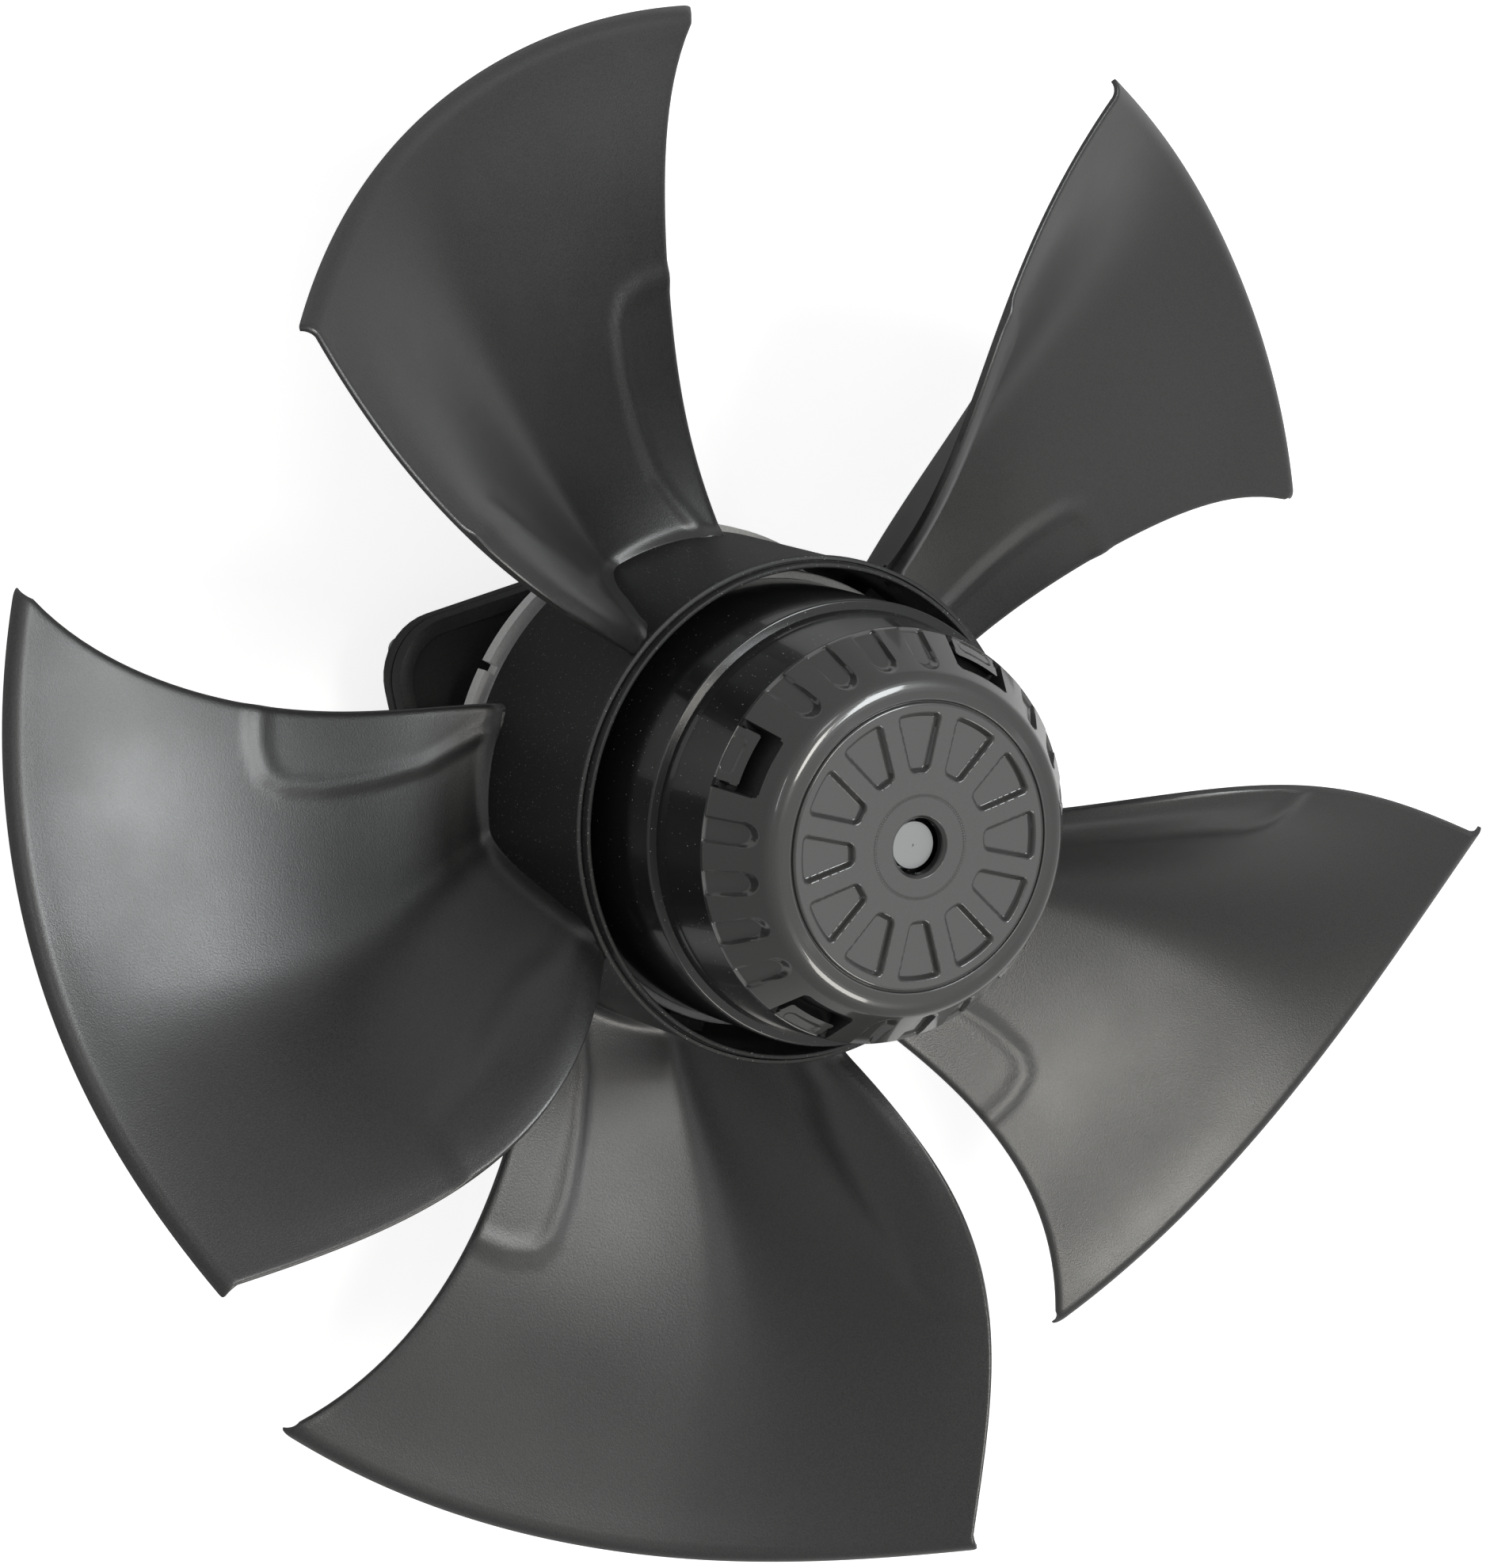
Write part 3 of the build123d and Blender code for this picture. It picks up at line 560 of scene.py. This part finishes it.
def blade():
    """One blade with its beads, root fillets, round nose and rolled tip, as a closed mesh."""
    distance, chord, length = blade_grid()
    along = chord * length
    normal, base = skin_normal(distance, chord), skin(distance, chord)
    fillet = root_fillet(distance, np.minimum(along, length - along))
    thick = EDGE_THICKNESS + (BLADE_THICKNESS - EDGE_THICKNESS) * 4 * chord * (1 - chord)
    nose = edge_drop(along, NOSE_LENGTH, NOSE_DROP) + edge_drop(length - along, TAIL_LENGTH, TAIL_DROP)
    raised = bead(distance, chord, LEAD_BEAD, LEAD_BEAD_HEIGHTS, -1)
    raised += bead(distance, chord, TRAIL_BEAD, TRAIL_BEAD_HEIGHTS, 1)
    front = base + normal * (fillet + raised - nose)[..., None]
    back = base - normal * (thick + fillet)[..., None]
    tip_front, tip_back = rolled_tip(distance[-1], chord[-1], length[-1], nose[-1], thick[-1])
    return skins_closed([*front, *tip_front], [*back, *tip_back])


def spun(part, turn, step):
    """Copies of a part right round the shaft, the first at a turn and the rest a step apart, in degrees."""
    copies = range(round(360 / abs(step)))
    return [placed(part, Matrix.Rotation(math.radians(turn + step * i), 4, "Z")) for i in copies]


def impeller():
    """Hub ring and blades."""
    inner = HUB_RADIUS - HUB_WALL
    profile = eased(
        [
            (inner, 10.0, 0.5),
            (HUB_RADIUS, 10.0, 0.8),
            (HUB_RADIUS, 80.4, 0.6),
            (81.5, 81.2, 0.3),
            (81.5, 83.2, 0.5),
            (80.2, 83.5, 0.15),
            (80.0, 82.6, 0.1),
            (79.6, 82.6, 0.1),
            (79.4, 86.2, 0.5),
            (78.0, 86.2, 0.5),
            (inner, 84.8, 0.3),
        ]
    )
    hub = turned(profile, HUB_SIDES)
    points, faces = join(hub, *spun(blade(), BLADE_TURN, BLADE_STEP))
    pick = [1] * len(hub[1]) + [0] * (len(faces) - len(hub[1]))
    looks = [BLADE, HUB]
    piece("impeller_moulding", points, faces, looks, "rotor", "blade_plastic", ("impeller",), pick=pick)


RING_RADII = (71.0, 73.6)
RING_HEIGHTS = (30.0, 58.0)
RING_SIDES = 160
LUG_TURN = -51.9
LUG_STEP = 40.0
LUG_SIZE = (5.5, 14.0)
LUG_CORNER = 1.0
LUG_CENTRE = (74.8, 0)
LUG_LEVELS = ((0.3, 36.0), (0, 36.4), (0, 51.6), (0.3, 52.0))


def carrier():
    """Light ring on the rotor and the dark lugs between it and the hub."""
    (inner, outer), (low, high) = RING_RADII, RING_HEIGHTS
    profile = eased([(inner, low, 0.4), (outer, low, 0.6), (outer, high, 0.6), (inner, high, 0.4)])
    ring = turned(profile, RING_SIDES)
    piece("carrier_ring", *ring, [CAST], "rotor", "cast_aluminium", ("hub_carrier",))
    lug = stacked(*LUG_SIZE, LUG_CORNER, LUG_LEVELS, LUG_CENTRE)
    piece("carrier_lugs", *join(*spun(lug, LUG_TURN, LUG_STEP)), [HUB], "rotor", "blade_plastic")


# ---------------------------------------------------------------- rotor
BELL_SIDES = 200
BELL_SHARP = 25.0


def bell():
    """Drawn rotor bell with its rolled shoulder and neck."""
    profile = eased(
        [
            (68.5, 9.0, 0.4),
            (71.0, 9.0, 0.8),
            (71.0, 109.4, 0.8),
            (67.2, 109.6, 0.3),
            (65.6, 133.0, 0.2),
            (14.0, 133.0, 0.8),
            (14.0, 145.0, 0.6),
            (7.5, 145.0),
            (7.5, 119.0),
            (14.0, 119.0),
            (14.0, 129.0),
            (63.0, 129.0, 2.0),
            (68.5, 107.0, 2.0),
        ],
        8,
    )
    solid = turned(profile, BELL_SIDES)
    piece("rotor_bell", *solid, [PAINT], "rotor", "rotor_paint", ("rotor_can",), BELL_SHARP)


CAP_SHARP = 40.0
RIM = (65.5, 133.0)
CONE_TOP = (54.6, 149.8)
GROOVE = (45.4, 153.1)
UNDERSIDE = 150.1
UNDER_JOIN = (44.0, UNDERSIDE)
CONE_SIDES = 1020
CONE_STEP = 0.42
CONE_CORNERS = (
    (*RIM, 0.25),
    (65.3, 133.9),
    (52.3, 153.35, 7.5),
    (45.8, 153.85, 0.3),
    (45.6, 153.2, 0.1),
    GROOVE,
)
# Pockets round the cone: places up the slope from the rim, widths across it and depths below it.
POCKET_TURN = 54.7
POCKET_PITCH = 15.0
POCKET_HALF = 4.2
POCKET_TAPER = 0.015
POCKET_STRAIGHT = 14.2
NOSE_STRETCH = 0.72
POCKET_WALL = 0.85
POCKET_DEPTH = 2.3
POCKET_DEEPENING = 0.06
# Latch windows: each is an open hole but for the tongue that stands in it, which has a shallow sunk field.
# Each hole is drawn as a deep pit whose faces take a darker plastic, as painted shade for the inside of the
# hole.
WINDOW_TURN = 47.9
WINDOW_PITCH = 90.0
WINDOW_HALF_ANGLE = 10.1
WINDOW_CLEAR_ANGLE = 14.0
WINDOW_TOP = 16.3
WINDOW_CORNER = 2.0
WINDOW_WALL = 0.45
TONGUE_TOP = 9.9
TONGUE_HALF = 9.2
TONGUE_CORNER = 1.4
TONGUE_WALL = 0.35
TONGUE_SINK = 1.0
FIELD_FROM = 1.4
FIELD_TO = 6.4
FIELD_HALF = 6.4
FIELD_CORNER = 2.0
FIELD_WALL = 0.3
FIELD_SINK = 0.5
LEAST_SINK = 0.001
HOLE_SINK = 12.0
# Share of the hole past which a face takes the darker plastic of painted shade.
HOLE_SHADE_FROM = 0.12
RIM_LEFT = 0.1
HOLE_SILL = 1.2
# Raised disc: its sunk panels, the ring of dots, and the plain band that needs few rows.
DISC_SIDES = 840
DISC_STEP = 0.31
DISC_CORNERS = (
    GROOVE,
    (45.2, 153.1, 0.1),
    (45.0, 154.3, 0.8),
    (9.9, 154.3, 0.3),
    (9.0, 153.3, 0.2),
    (9.0, UNDERSIDE),
)
PANEL_TURN = -12.6
PANEL_PITCH = 30.0
PANEL_INNER = 23.2
PANEL_OUTER = 42.0
PANEL_WIDE_AT = 41.8
PANEL_HALF_WIDTHS = (3.4, 8.2)
PANEL_SLANT = 0.97
PANEL_CORNER = 2.0
PANEL_WALL = 1.35
PANEL_DEPTH = 2.0
PANEL_DRAFT = 0.4
DOT_RADIUS = 16.1
DOT_COUNT = 120
DOT_REACH = 0.3
DOT_DEPTH = 0.12
DOT_BAND = 0.9
PLAIN_BAND = (10.4, 22.6)


def spread(corners, step, steps=6):
    """Rounded outline with evenly spread points on its straights."""
    made = eased(corners, steps, closed=False)
    dense = [made[0]]
    for a, b in zip(made, made[1:]):
        parts = max(1, math.ceil(math.dist(a, b) / step))
        for k in range(1, parts + 1):
            dense.append((a[0] + (b[0] - a[0]) * k / parts, a[1] + (b[1] - a[1]) * k / parts))
    return np.array(dense)


def around_turn(angle, centre, pitch):
    """Angle from the nearest of the centres that repeat at a pitch, in radians."""
    return np.radians((np.degrees(angle) - centre + pitch / 2) % pitch - pitch / 2)


def rounded_inside(a, b, radius):
    """Distance inside a corner of two edges that is rounded."""
    far = np.hypot(np.clip(radius - a, 0, None), np.clip(radius - b, 0, None))
    return radius - far + np.clip(np.minimum(a, b) - radius, 0, None)


def turned_grid(outline, sides):
    """Radius, angle and height of each point of an outline turned about the shaft."""
    radius, angle = np.meshgrid(outline[:, 0], turns_about(sides), indexing="ij")
    return radius, angle, np.repeat(outline[:, 1][:, None], sides, 1)


def pocket_sink(up_slope, across):
    """Depth of the pockets, each with straight leaning sides and a round end at the top."""
    half = POCKET_HALF - POCKET_TAPER * up_slope
    round_end = np.hypot((up_slope - POCKET_STRAIGHT) * NOSE_STRETCH, across)
    reach = np.where(up_slope > POCKET_STRAIGHT, round_end, np.abs(across))
    return smooth_step((half - reach) / POCKET_WALL) * (POCKET_DEPTH + POCKET_DEEPENING * up_slope)


def window_sink(up_slope, side, half):
    """Depth of the tongue in a latch window, and the share of the hole round it at each point."""
    window = smooth_step(rounded_inside(WINDOW_TOP - up_slope, half - side, WINDOW_CORNER) / WINDOW_WALL)
    tongue = rounded_inside(TONGUE_TOP - up_slope, TONGUE_HALF - side, TONGUE_CORNER)
    tongue = smooth_step(tongue / TONGUE_WALL)
    along_field = np.minimum(up_slope - FIELD_FROM, FIELD_TO - up_slope)
    field = rounded_inside(along_field, FIELD_HALF - side, FIELD_CORNER)
    return window * (TONGUE_SINK + FIELD_SINK * smooth_step(field / FIELD_WALL)), window * (1 - tongue)


def cap_cone():
    """Cone of the cap: a turned outline whose pockets and latch windows are cut along the shaft."""
    outline = spread(CONE_CORNERS, CONE_STEP)
    radius, angle, height = turned_grid(outline, CONE_SIDES)
    climb = np.array([CONE_TOP[0] - RIM[0], CONE_TOP[1] - RIM[1]])
    climb = climb / np.linalg.norm(climb)
    up_slope = (radius - RIM[0]) * climb[0] + (height - RIM[1]) * climb[1]
    pocket = pocket_sink(up_slope, radius * around_turn(angle, POCKET_TURN, POCKET_PITCH))
    window_turn = around_turn(angle, WINDOW_TURN, WINDOW_PITCH)
    half = radius * math.radians(WINDOW_HALF_ANGLE)
    tongue, hole = window_sink(up_slope, np.abs(radius * window_turn), half)
    sink = np.maximum(pocket * (np.abs(np.degrees(window_turn)) > WINDOW_CLEAR_ANGLE), tongue)
    sink = sink + (HOLE_SINK - sink) * hole
    lowest = RIM[1] + RIM_LEFT + HOLE_SILL * hole
    z = np.minimum(np.where(sink > LEAST_SINK, np.maximum(height - sink, lowest), height), height)
    under = [UNDER_JOIN, (48.0, UNDERSIDE), (55.5, RIM[1])]
    points = [tuple(p) for p in from_polar(radius, angle, z).reshape(-1, 3)] + ring_points(under, CONE_SIDES)
    faces = grid_faces(len(outline) + len(under), CONE_SIDES, wrap_rows=True)
    # Faces down in the window pits take the darker plastic: painted shade for the inside of the open holes.
    hole_shade_points = (hole > HOLE_SHADE_FROM).reshape(-1)
    outer_faces = (len(outline) - 1) * CONE_SIDES
    pick = [int(n < outer_faces and any(hole_shade_points[i] for i in face)) for n, face in enumerate(faces)]
    looks = [CAP, CAP_HOLE_SHADE]
    piece("cap_cone", points, faces, looks, "rotor", "cap_plastic", ("rotor_cap",), CAP_SHARP, pick)


def cap_disc():
    """Raised disc of the cap with its sunk panels, the fine ring of dots and the hole."""
    outline = spread(DISC_CORNERS, DISC_STEP, 4)
    spot = outline[:, 0]
    plain = (spot < PLAIN_BAND[1]) & (spot > PLAIN_BAND[0]) & (abs(spot - DOT_RADIUS) > DOT_BAND)
    outline = outline[~plain]
    radius, angle, height = turned_grid(outline, DISC_SIDES)
    panel_turn = around_turn(angle, PANEL_TURN, PANEL_PITCH)
    x, y = radius * np.cos(panel_turn), radius * np.sin(panel_turn)
    narrow, wide = PANEL_HALF_WIDTHS
    half = narrow + (x - PANEL_INNER) * (wide - narrow) / (PANEL_WIDE_AT - PANEL_INNER)
    along, across = np.minimum(x - PANEL_INNER, PANEL_OUTER - radius), (half - np.abs(y)) * PANEL_SLANT
    wall = np.clip(rounded_inside(along, across, PANEL_CORNER) / PANEL_WALL, 0, 1)
    sunk = PANEL_DRAFT * wall + (1 - PANEL_DRAFT) * smooth_step(wall)
    dots = (0.5 + 0.5 * np.cos(angle * DOT_COUNT)) * np.exp(-(((radius - DOT_RADIUS) / DOT_REACH) ** 2))
    z = height - PANEL_DEPTH * sunk - DOT_DEPTH * dots
    points = [tuple(p) for p in from_polar(radius, angle, z).reshape(-1, 3)]
    points += ring_points([UNDER_JOIN], DISC_SIDES)
    faces = grid_faces(len(outline) + 1, DISC_SIDES, wrap_rows=True)
    piece("cap_disc", points, faces, [CAP], "rotor", "cap_plastic", sharp=CAP_SHARP)


SHAFT_RADIUS = 7.5
SHAFT_ENDS = (2.5, 150.0)
SHAFT_SIDES = 64


def shaft():
    """Ground shaft with chamfers and centre holes."""
    rear, front = SHAFT_ENDS
    rear_end = [(1.2, 4.0), (1.6, 2.6), (6.9, rear), (SHAFT_RADIUS, 3.1)]
    front_end = [(SHAFT_RADIUS, 149.85), (7.35, front), (0.4, front), (0.3, 149.7)]
    solid = capped(rear_end + front_end, SHAFT_SIDES)
    piece("motor_shaft", *solid, [STEEL], "rotor", "shaft_steel", ("shaft",))


# ---------------------------------------------------------------- terminal box
BOX_SIZE = (144.0, 121.0)
BOX_CENTRE = (0.0, 25.5)
BOX_CORNER = 20.0
NECK_SIDE = 76.0
NECK_CORNER = 4.0
COVER_SIZE = (108.0, 101.0)
COVER_CENTRE = (0.0, 17.5)
COVER_CORNER = 6.0
SCREW_INSET = 9.0
SCREW_SIDES = 48
CROSS_WAIST = 0.34
GLAND_AT = (-33.0, -33.0)
GLAND_FLATS = 22.0
GLAND_BORE = 5.0
LOCKNUT_BORE = 8.0
GLAND_SIDES = 72
HEXAGON_CORNER = 1.11
NUT_RIBS = 24
RIB_HEIGHT = 0.02


def box_base():
    """Base plate with its raised rim, and the square neck."""
    rim = ((6.2, -11.0), (5.6, -10.8), (5.2, -8.6), (4.8, -8.1), (4.4, -8.0), (0.7, -8.0), (0.2, -8.2))
    plate = stacked(*BOX_SIZE, BOX_CORNER, (*rim, (0, -8.7), (0, -13.4), (0.5, -14.0)), BOX_CENTRE)
    neck_levels = ((0.3, -14.0), (0.3, 1.0), (7.0, 1.0), (7.0, -14.0))
    neck = stacked(NECK_SIDE, NECK_SIDE, NECK_CORNER, neck_levels, ring=True, steps=6)
    piece("box_base_plate", *join(plate, neck), [BOX], "stator", "box_plastic", ("terminal_box_base",))


def box_cover():
    """Cover: flat flange and drafted housing with round edges."""
    flange_levels = ((0.4, -14.8), (0, -15.2), (0, -19.4), (0.6, -20.0), (17.0, -20.0))
    flange = stacked(*BOX_SIZE, BOX_CORNER, flange_levels, BOX_CENTRE)
    housing_levels = ((-0.6, -20.0), (0.0, -20.8), (0.5, -45.4), (0.9, -47.0), (2.0, -47.8), (3.2, -48.0))
    housing = stacked(*COVER_SIZE, COVER_CORNER, housing_levels, COVER_CENTRE)
    piece("box_cover_shell", *join(flange, housing), [BOX], "stator", "box_plastic", ("terminal_box_cover",))


def screw(x, y):
    """Pan-head screw, its head to the rear; the last rings of (radius, height) make its cross recess."""
    outer = [(2.0, -12.0), (2.0, -20.0), (3.6, -20.0), (4.0, -20.4), (3.9, -21.6), (3.3, -22.3), (2.5, -22.5)]
    recess = [(2.3, -22.5), (2.1, -21.2), (0.6, -21.0)]
    points = []
    for r, z in outer + recess:
        for t in turns_about(SCREW_SIDES):
            wave = abs(math.cos(2 * t)) ** 3
            reach = r * (CROSS_WAIST + (1 - CROSS_WAIST) * wave) if (r, z) in recess else r
            points.append((x + reach * math.cos(t), y + reach * math.sin(t), z))
    rows = len(outer) + len(recess)
    return points, grid_faces(rows, SCREW_SIDES) + end_faces(rows, SCREW_SIDES)


def cover_screws():
    """The four cover screws."""
    x, y = BOX_SIZE[0] / 2 - SCREW_INSET, BOX_SIZE[1] / 2 - SCREW_INSET
    screws = [screw(i * x, BOX_CENTRE[1] + j * y) for i in (-1, 1) for j in (-1, 1)]
    piece("cover_screw_set", *join(*screws), [SCREW], "stator", "screw_steel", ("cover_screws",))


def hexagon_ring(levels, bore, ribs=0):
    """Ring of levels (share of the radius, distance along the axis, 1 for a hexagon or 0 for a circle).

    A share of 0 stands for the bore, and ribs wave the round levels."""
    points, across = [], GLAND_FLATS / 2
    for share, distance, hexed in levels:
        for j in range(GLAND_SIDES):
            t = 2 * math.pi * j / GLAND_SIDES
            hexagon = across / math.cos((t + math.pi / 6) % (math.pi / 3) - math.pi / 6)
            reach = (min(hexagon, across * HEXAGON_CORNER) if hexed else across) * share
            if ribs and not hexed:
                reach *= 1 + RIB_HEIGHT * math.cos(ribs * t)
            if share == 0:
                reach = bore
            points.append((reach * math.cos(t), reach * math.sin(t), distance))
    return points, grid_faces(len(levels), GLAND_SIDES, wrap_rows=True)


def gland():
    """Cable gland: body with a hexagon, ribbed dome nut and locknut."""
    wall, height = GLAND_AT
    axis = Matrix.Translation((0, wall, height)) @ Matrix.Rotation(math.radians(90), 4, "X")
    thread = ((0, -6.6, 0), (0.70, -6.6, 0), (0.727, -6.2, 0), (0.727, 0, 0))
    collar = ((0.96, 0, 1), (1, 0.4, 1), (1, 7.6, 1), (0.96, 8.0, 1), (0, 8.0, 0))
    grip = ((0, 8.0, 0), (0.96, 8.0, 1), (1, 8.4, 1), (1, 15.0, 1), (0.97, 16.0, 0))
    dome = ((0.93, 18.5, 0), (0.85, 20.4, 0), (0.70, 21.6, 0), (0.55, 22.0, 0), (0, 22.0, 0))
    locknut = ((0.73, -6.6, 0), (0.96, -6.6, 1), (1, -6.2, 1), (1, -3.0, 1), (0.96, -2.6, 1), (0.73, -2.6, 0))
    made = (
        ("gland_body_moulding", "gland_body", hexagon_ring(thread + collar, GLAND_BORE)),
        ("gland_dome_nut", "gland_nut", hexagon_ring(grip + dome, GLAND_BORE, NUT_RIBS)),
        ("gland_ring_nut", "gland_locknut", hexagon_ring(locknut, LOCKNUT_BORE)),
    )
    for name, node, solid in made:
        piece(name, *placed(solid, axis), [GLAND], "stator", "gland_plastic", (node,))


# ---------------------------------------------------------------- carried-over solids
def dress_nodes():
    """Materials for the CAD solids that stay as they are."""
    kept = {
        "stator_flange": CAST,
        "shaft_bearings": STEEL,
        "stator_core": SHEETS,
        "rotor_core": SHEETS,
        "stator_winding": COPPER,
        "cover_gasket": RUBBER,
        "terminal_strip": STRIP,
        "earth_terminal": BRASS,
        "earth_screw": SCREW,
    }
    for name, material in kept.items():
        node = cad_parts[name]
        node.data.materials.clear()
        node.data.materials.append(material)


# ---------------------------------------------------------------- stage, light and camera
# Camera and lamps are in metres and degrees; the lens comes from a focal length in the photograph's pixels.
LOOK_AT = (0.00225, -0.00143, 0.04408)
CAMERA_DISTANCE = 2.2469
CAMERA_AZIMUTH = 57.466
CAMERA_ELEVATION = 58.416
CAMERA_ROLL = -107.045
FOCAL_PIXELS = 8835.1
IMAGE_WIDTH = 1876
SENSOR = 36.0
CLIP_START = 0.05
FLOOR_HALF = 6.0
FLOOR_GREY = (0.6, 0.6, 0.6)
FLOOR_ROUGHNESS = 0.9
FLOOR_GLOW = 0.8
# The world grows brighter along a direction between the camera's right and its back.
WORLD_FACING = (0.8, 0.6)
WORLD_SPAN = (-0.7, 0.9)
WORLD_STRENGTHS = (0.28, 0.50)
COOL, PLAIN, WARM = (0.95, 0.985, 1.0), (1.0, 1.0, 1.0), (1.0, 0.98, 0.92)
LAMP_AIM = Vector((0, 0, 0.06))
# Name, direction along the camera's right, up and back, distance, width and height, watts, colour.
LAMPS = (
    ("side_key", (0.71, 0.27, 0.65), 1.9, (0.45, 0.8), 14.5, COOL),
    ("front_key", (0.52, 0.08, 0.85), 2.0, (0.30, 0.5), 6.0, WARM),
    ("low_key", (0.57, -0.67, 0.48), 1.9, (0.55, 0.5), 7.5, WARM),
    ("shoulder_light", (0.85, -0.26, 0.45), 1.9, (0.5, 0.5), 0.65, PLAIN),
    ("upper_light", (0.30, 0.43, 0.85), 2.0, (0.40, 0.30), 1.7, PLAIN),
    ("rim_light", (-0.14, 0.12, 0.98), 2.3, (0.14, 0.6), 1.6, PLAIN),
)


def camera():
    """Camera at the viewing angle, rolled about its line of sight; returns its right, up and back."""
    azimuth, elevation = math.radians(CAMERA_AZIMUTH), math.radians(CAMERA_ELEVATION)
    level = math.cos(elevation)
    back = Vector((level * math.cos(azimuth), level * math.sin(azimuth), math.sin(elevation)))
    sideways = Vector((0, 0, 1)).cross(back).normalized()
    upwards = back.cross(sideways)
    turn = math.radians(CAMERA_ROLL)
    right = sideways * math.cos(turn) - upwards * math.sin(turn)
    up = upwards * math.cos(turn) + sideways * math.sin(turn)
    data = bpy.data.cameras.new("camera")
    data.sensor_fit = "HORIZONTAL"
    data.sensor_width = SENSOR
    data.lens = FOCAL_PIXELS * SENSOR / IMAGE_WIDTH
    data.clip_start = CLIP_START
    made = bpy.data.objects.new("camera", data)
    place = Matrix((right, up, back)).transposed().to_4x4()
    place.translation = Vector(LOOK_AT) + back * CAMERA_DISTANCE
    made.matrix_world = place
    bpy.context.scene.collection.objects.link(made)
    bpy.context.scene.camera = made
    return right, up, back


def softbox(name, position, size, watts, upright, color):
    """Rectangular soft lamp aimed at the fan, its height along the camera's upright."""
    data = bpy.data.lights.new(name, "AREA")
    data.shape = "RECTANGLE"
    data.size, data.size_y = size
    data.energy = watts
    data.color = color
    made = bpy.data.objects.new(name, data)
    back = (position - LAMP_AIM).normalized()
    side = upright.cross(back).normalized()
    place = Matrix((side, back.cross(side), back)).transposed().to_4x4()
    place.translation = position
    made.matrix_world = place
    bpy.context.scene.collection.objects.link(made)


def white_floor():
    """Pale floor under the object, which the camera sees as white."""
    low, high, level = -FLOOR_HALF, FLOOR_HALF, cad_box[0][2]
    mesh = bpy.data.meshes.new("floor")
    corners = [(low, low, level), (high, low, level), (high, high, level), (low, high, level)]
    mesh.from_pydata(corners, [], [(0, 1, 2, 3)])
    floor = bpy.data.objects.new("floor", mesh)
    bpy.context.scene.collection.objects.link(floor)
    material, nodes, links, shader, _ = node_material("floor_white", FLOOR_GREY, FLOOR_ROUGHNESS)
    path = nodes.new("ShaderNodeLightPath")
    glow = nodes.new("ShaderNodeMath")
    glow.operation = "MULTIPLY"
    glow.inputs[1].default_value = FLOOR_GLOW
    links.new(path.outputs["Is Camera Ray"], glow.inputs[0])
    shader.inputs["Emission Color"].default_value = (1, 1, 1, 1)
    links.new(glow.outputs["Value"], shader.inputs["Emission Strength"])
    mesh.materials.append(material)


def studio_world(right, back):
    """World that the camera sees as white and the object sees as soft grey."""
    world = bpy.data.worlds.new("studio")
    bpy.context.scene.world = world
    world.use_nodes = True
    nodes, links = world.node_tree.nodes, world.node_tree.links
    background = nodes["Background"]
    background.inputs["Color"].default_value = (1, 1, 1, 1)
    path = nodes.new("ShaderNodeLightPath")
    direction = nodes.new("ShaderNodeTexCoord").outputs["Generated"]
    facing = nodes.new("ShaderNodeVectorMath")
    facing.operation = "DOT_PRODUCT"
    facing.inputs[1].default_value = (right * WORLD_FACING[0] + back * WORLD_FACING[1])[:]
    links.new(direction, facing.inputs[0])
    dim = remap(nodes, links, facing.outputs["Value"], *WORLD_STRENGTHS, *WORLD_SPAN)
    strength = nodes.new("ShaderNodeMath")
    strength.operation = "MAXIMUM"
    links.new(dim, strength.inputs[0])
    links.new(path.outputs["Is Camera Ray"], strength.inputs[1])
    links.new(strength.outputs["Value"], background.inputs["Strength"])


def stage():
    """Camera, floor, background, and soft lamps placed about the camera's own axes."""
    right, up, back = camera()
    white_floor()
    studio_world(right, back)
    for name, (along_right, along_up, along_back), distance, size, watts, color in LAMPS:
        direction = (right * along_right + up * along_up + back * along_back).normalized()
        softbox(name, LAMP_AIM + direction * distance, size, watts, up, color)


impeller()
carrier()
bell()
cap_cone()
cap_disc()
shaft()
box_base()
box_cover()
cover_screws()
gland()
dress_nodes()
stage()
bpy.context.scene.view_settings.view_transform = "Standard"
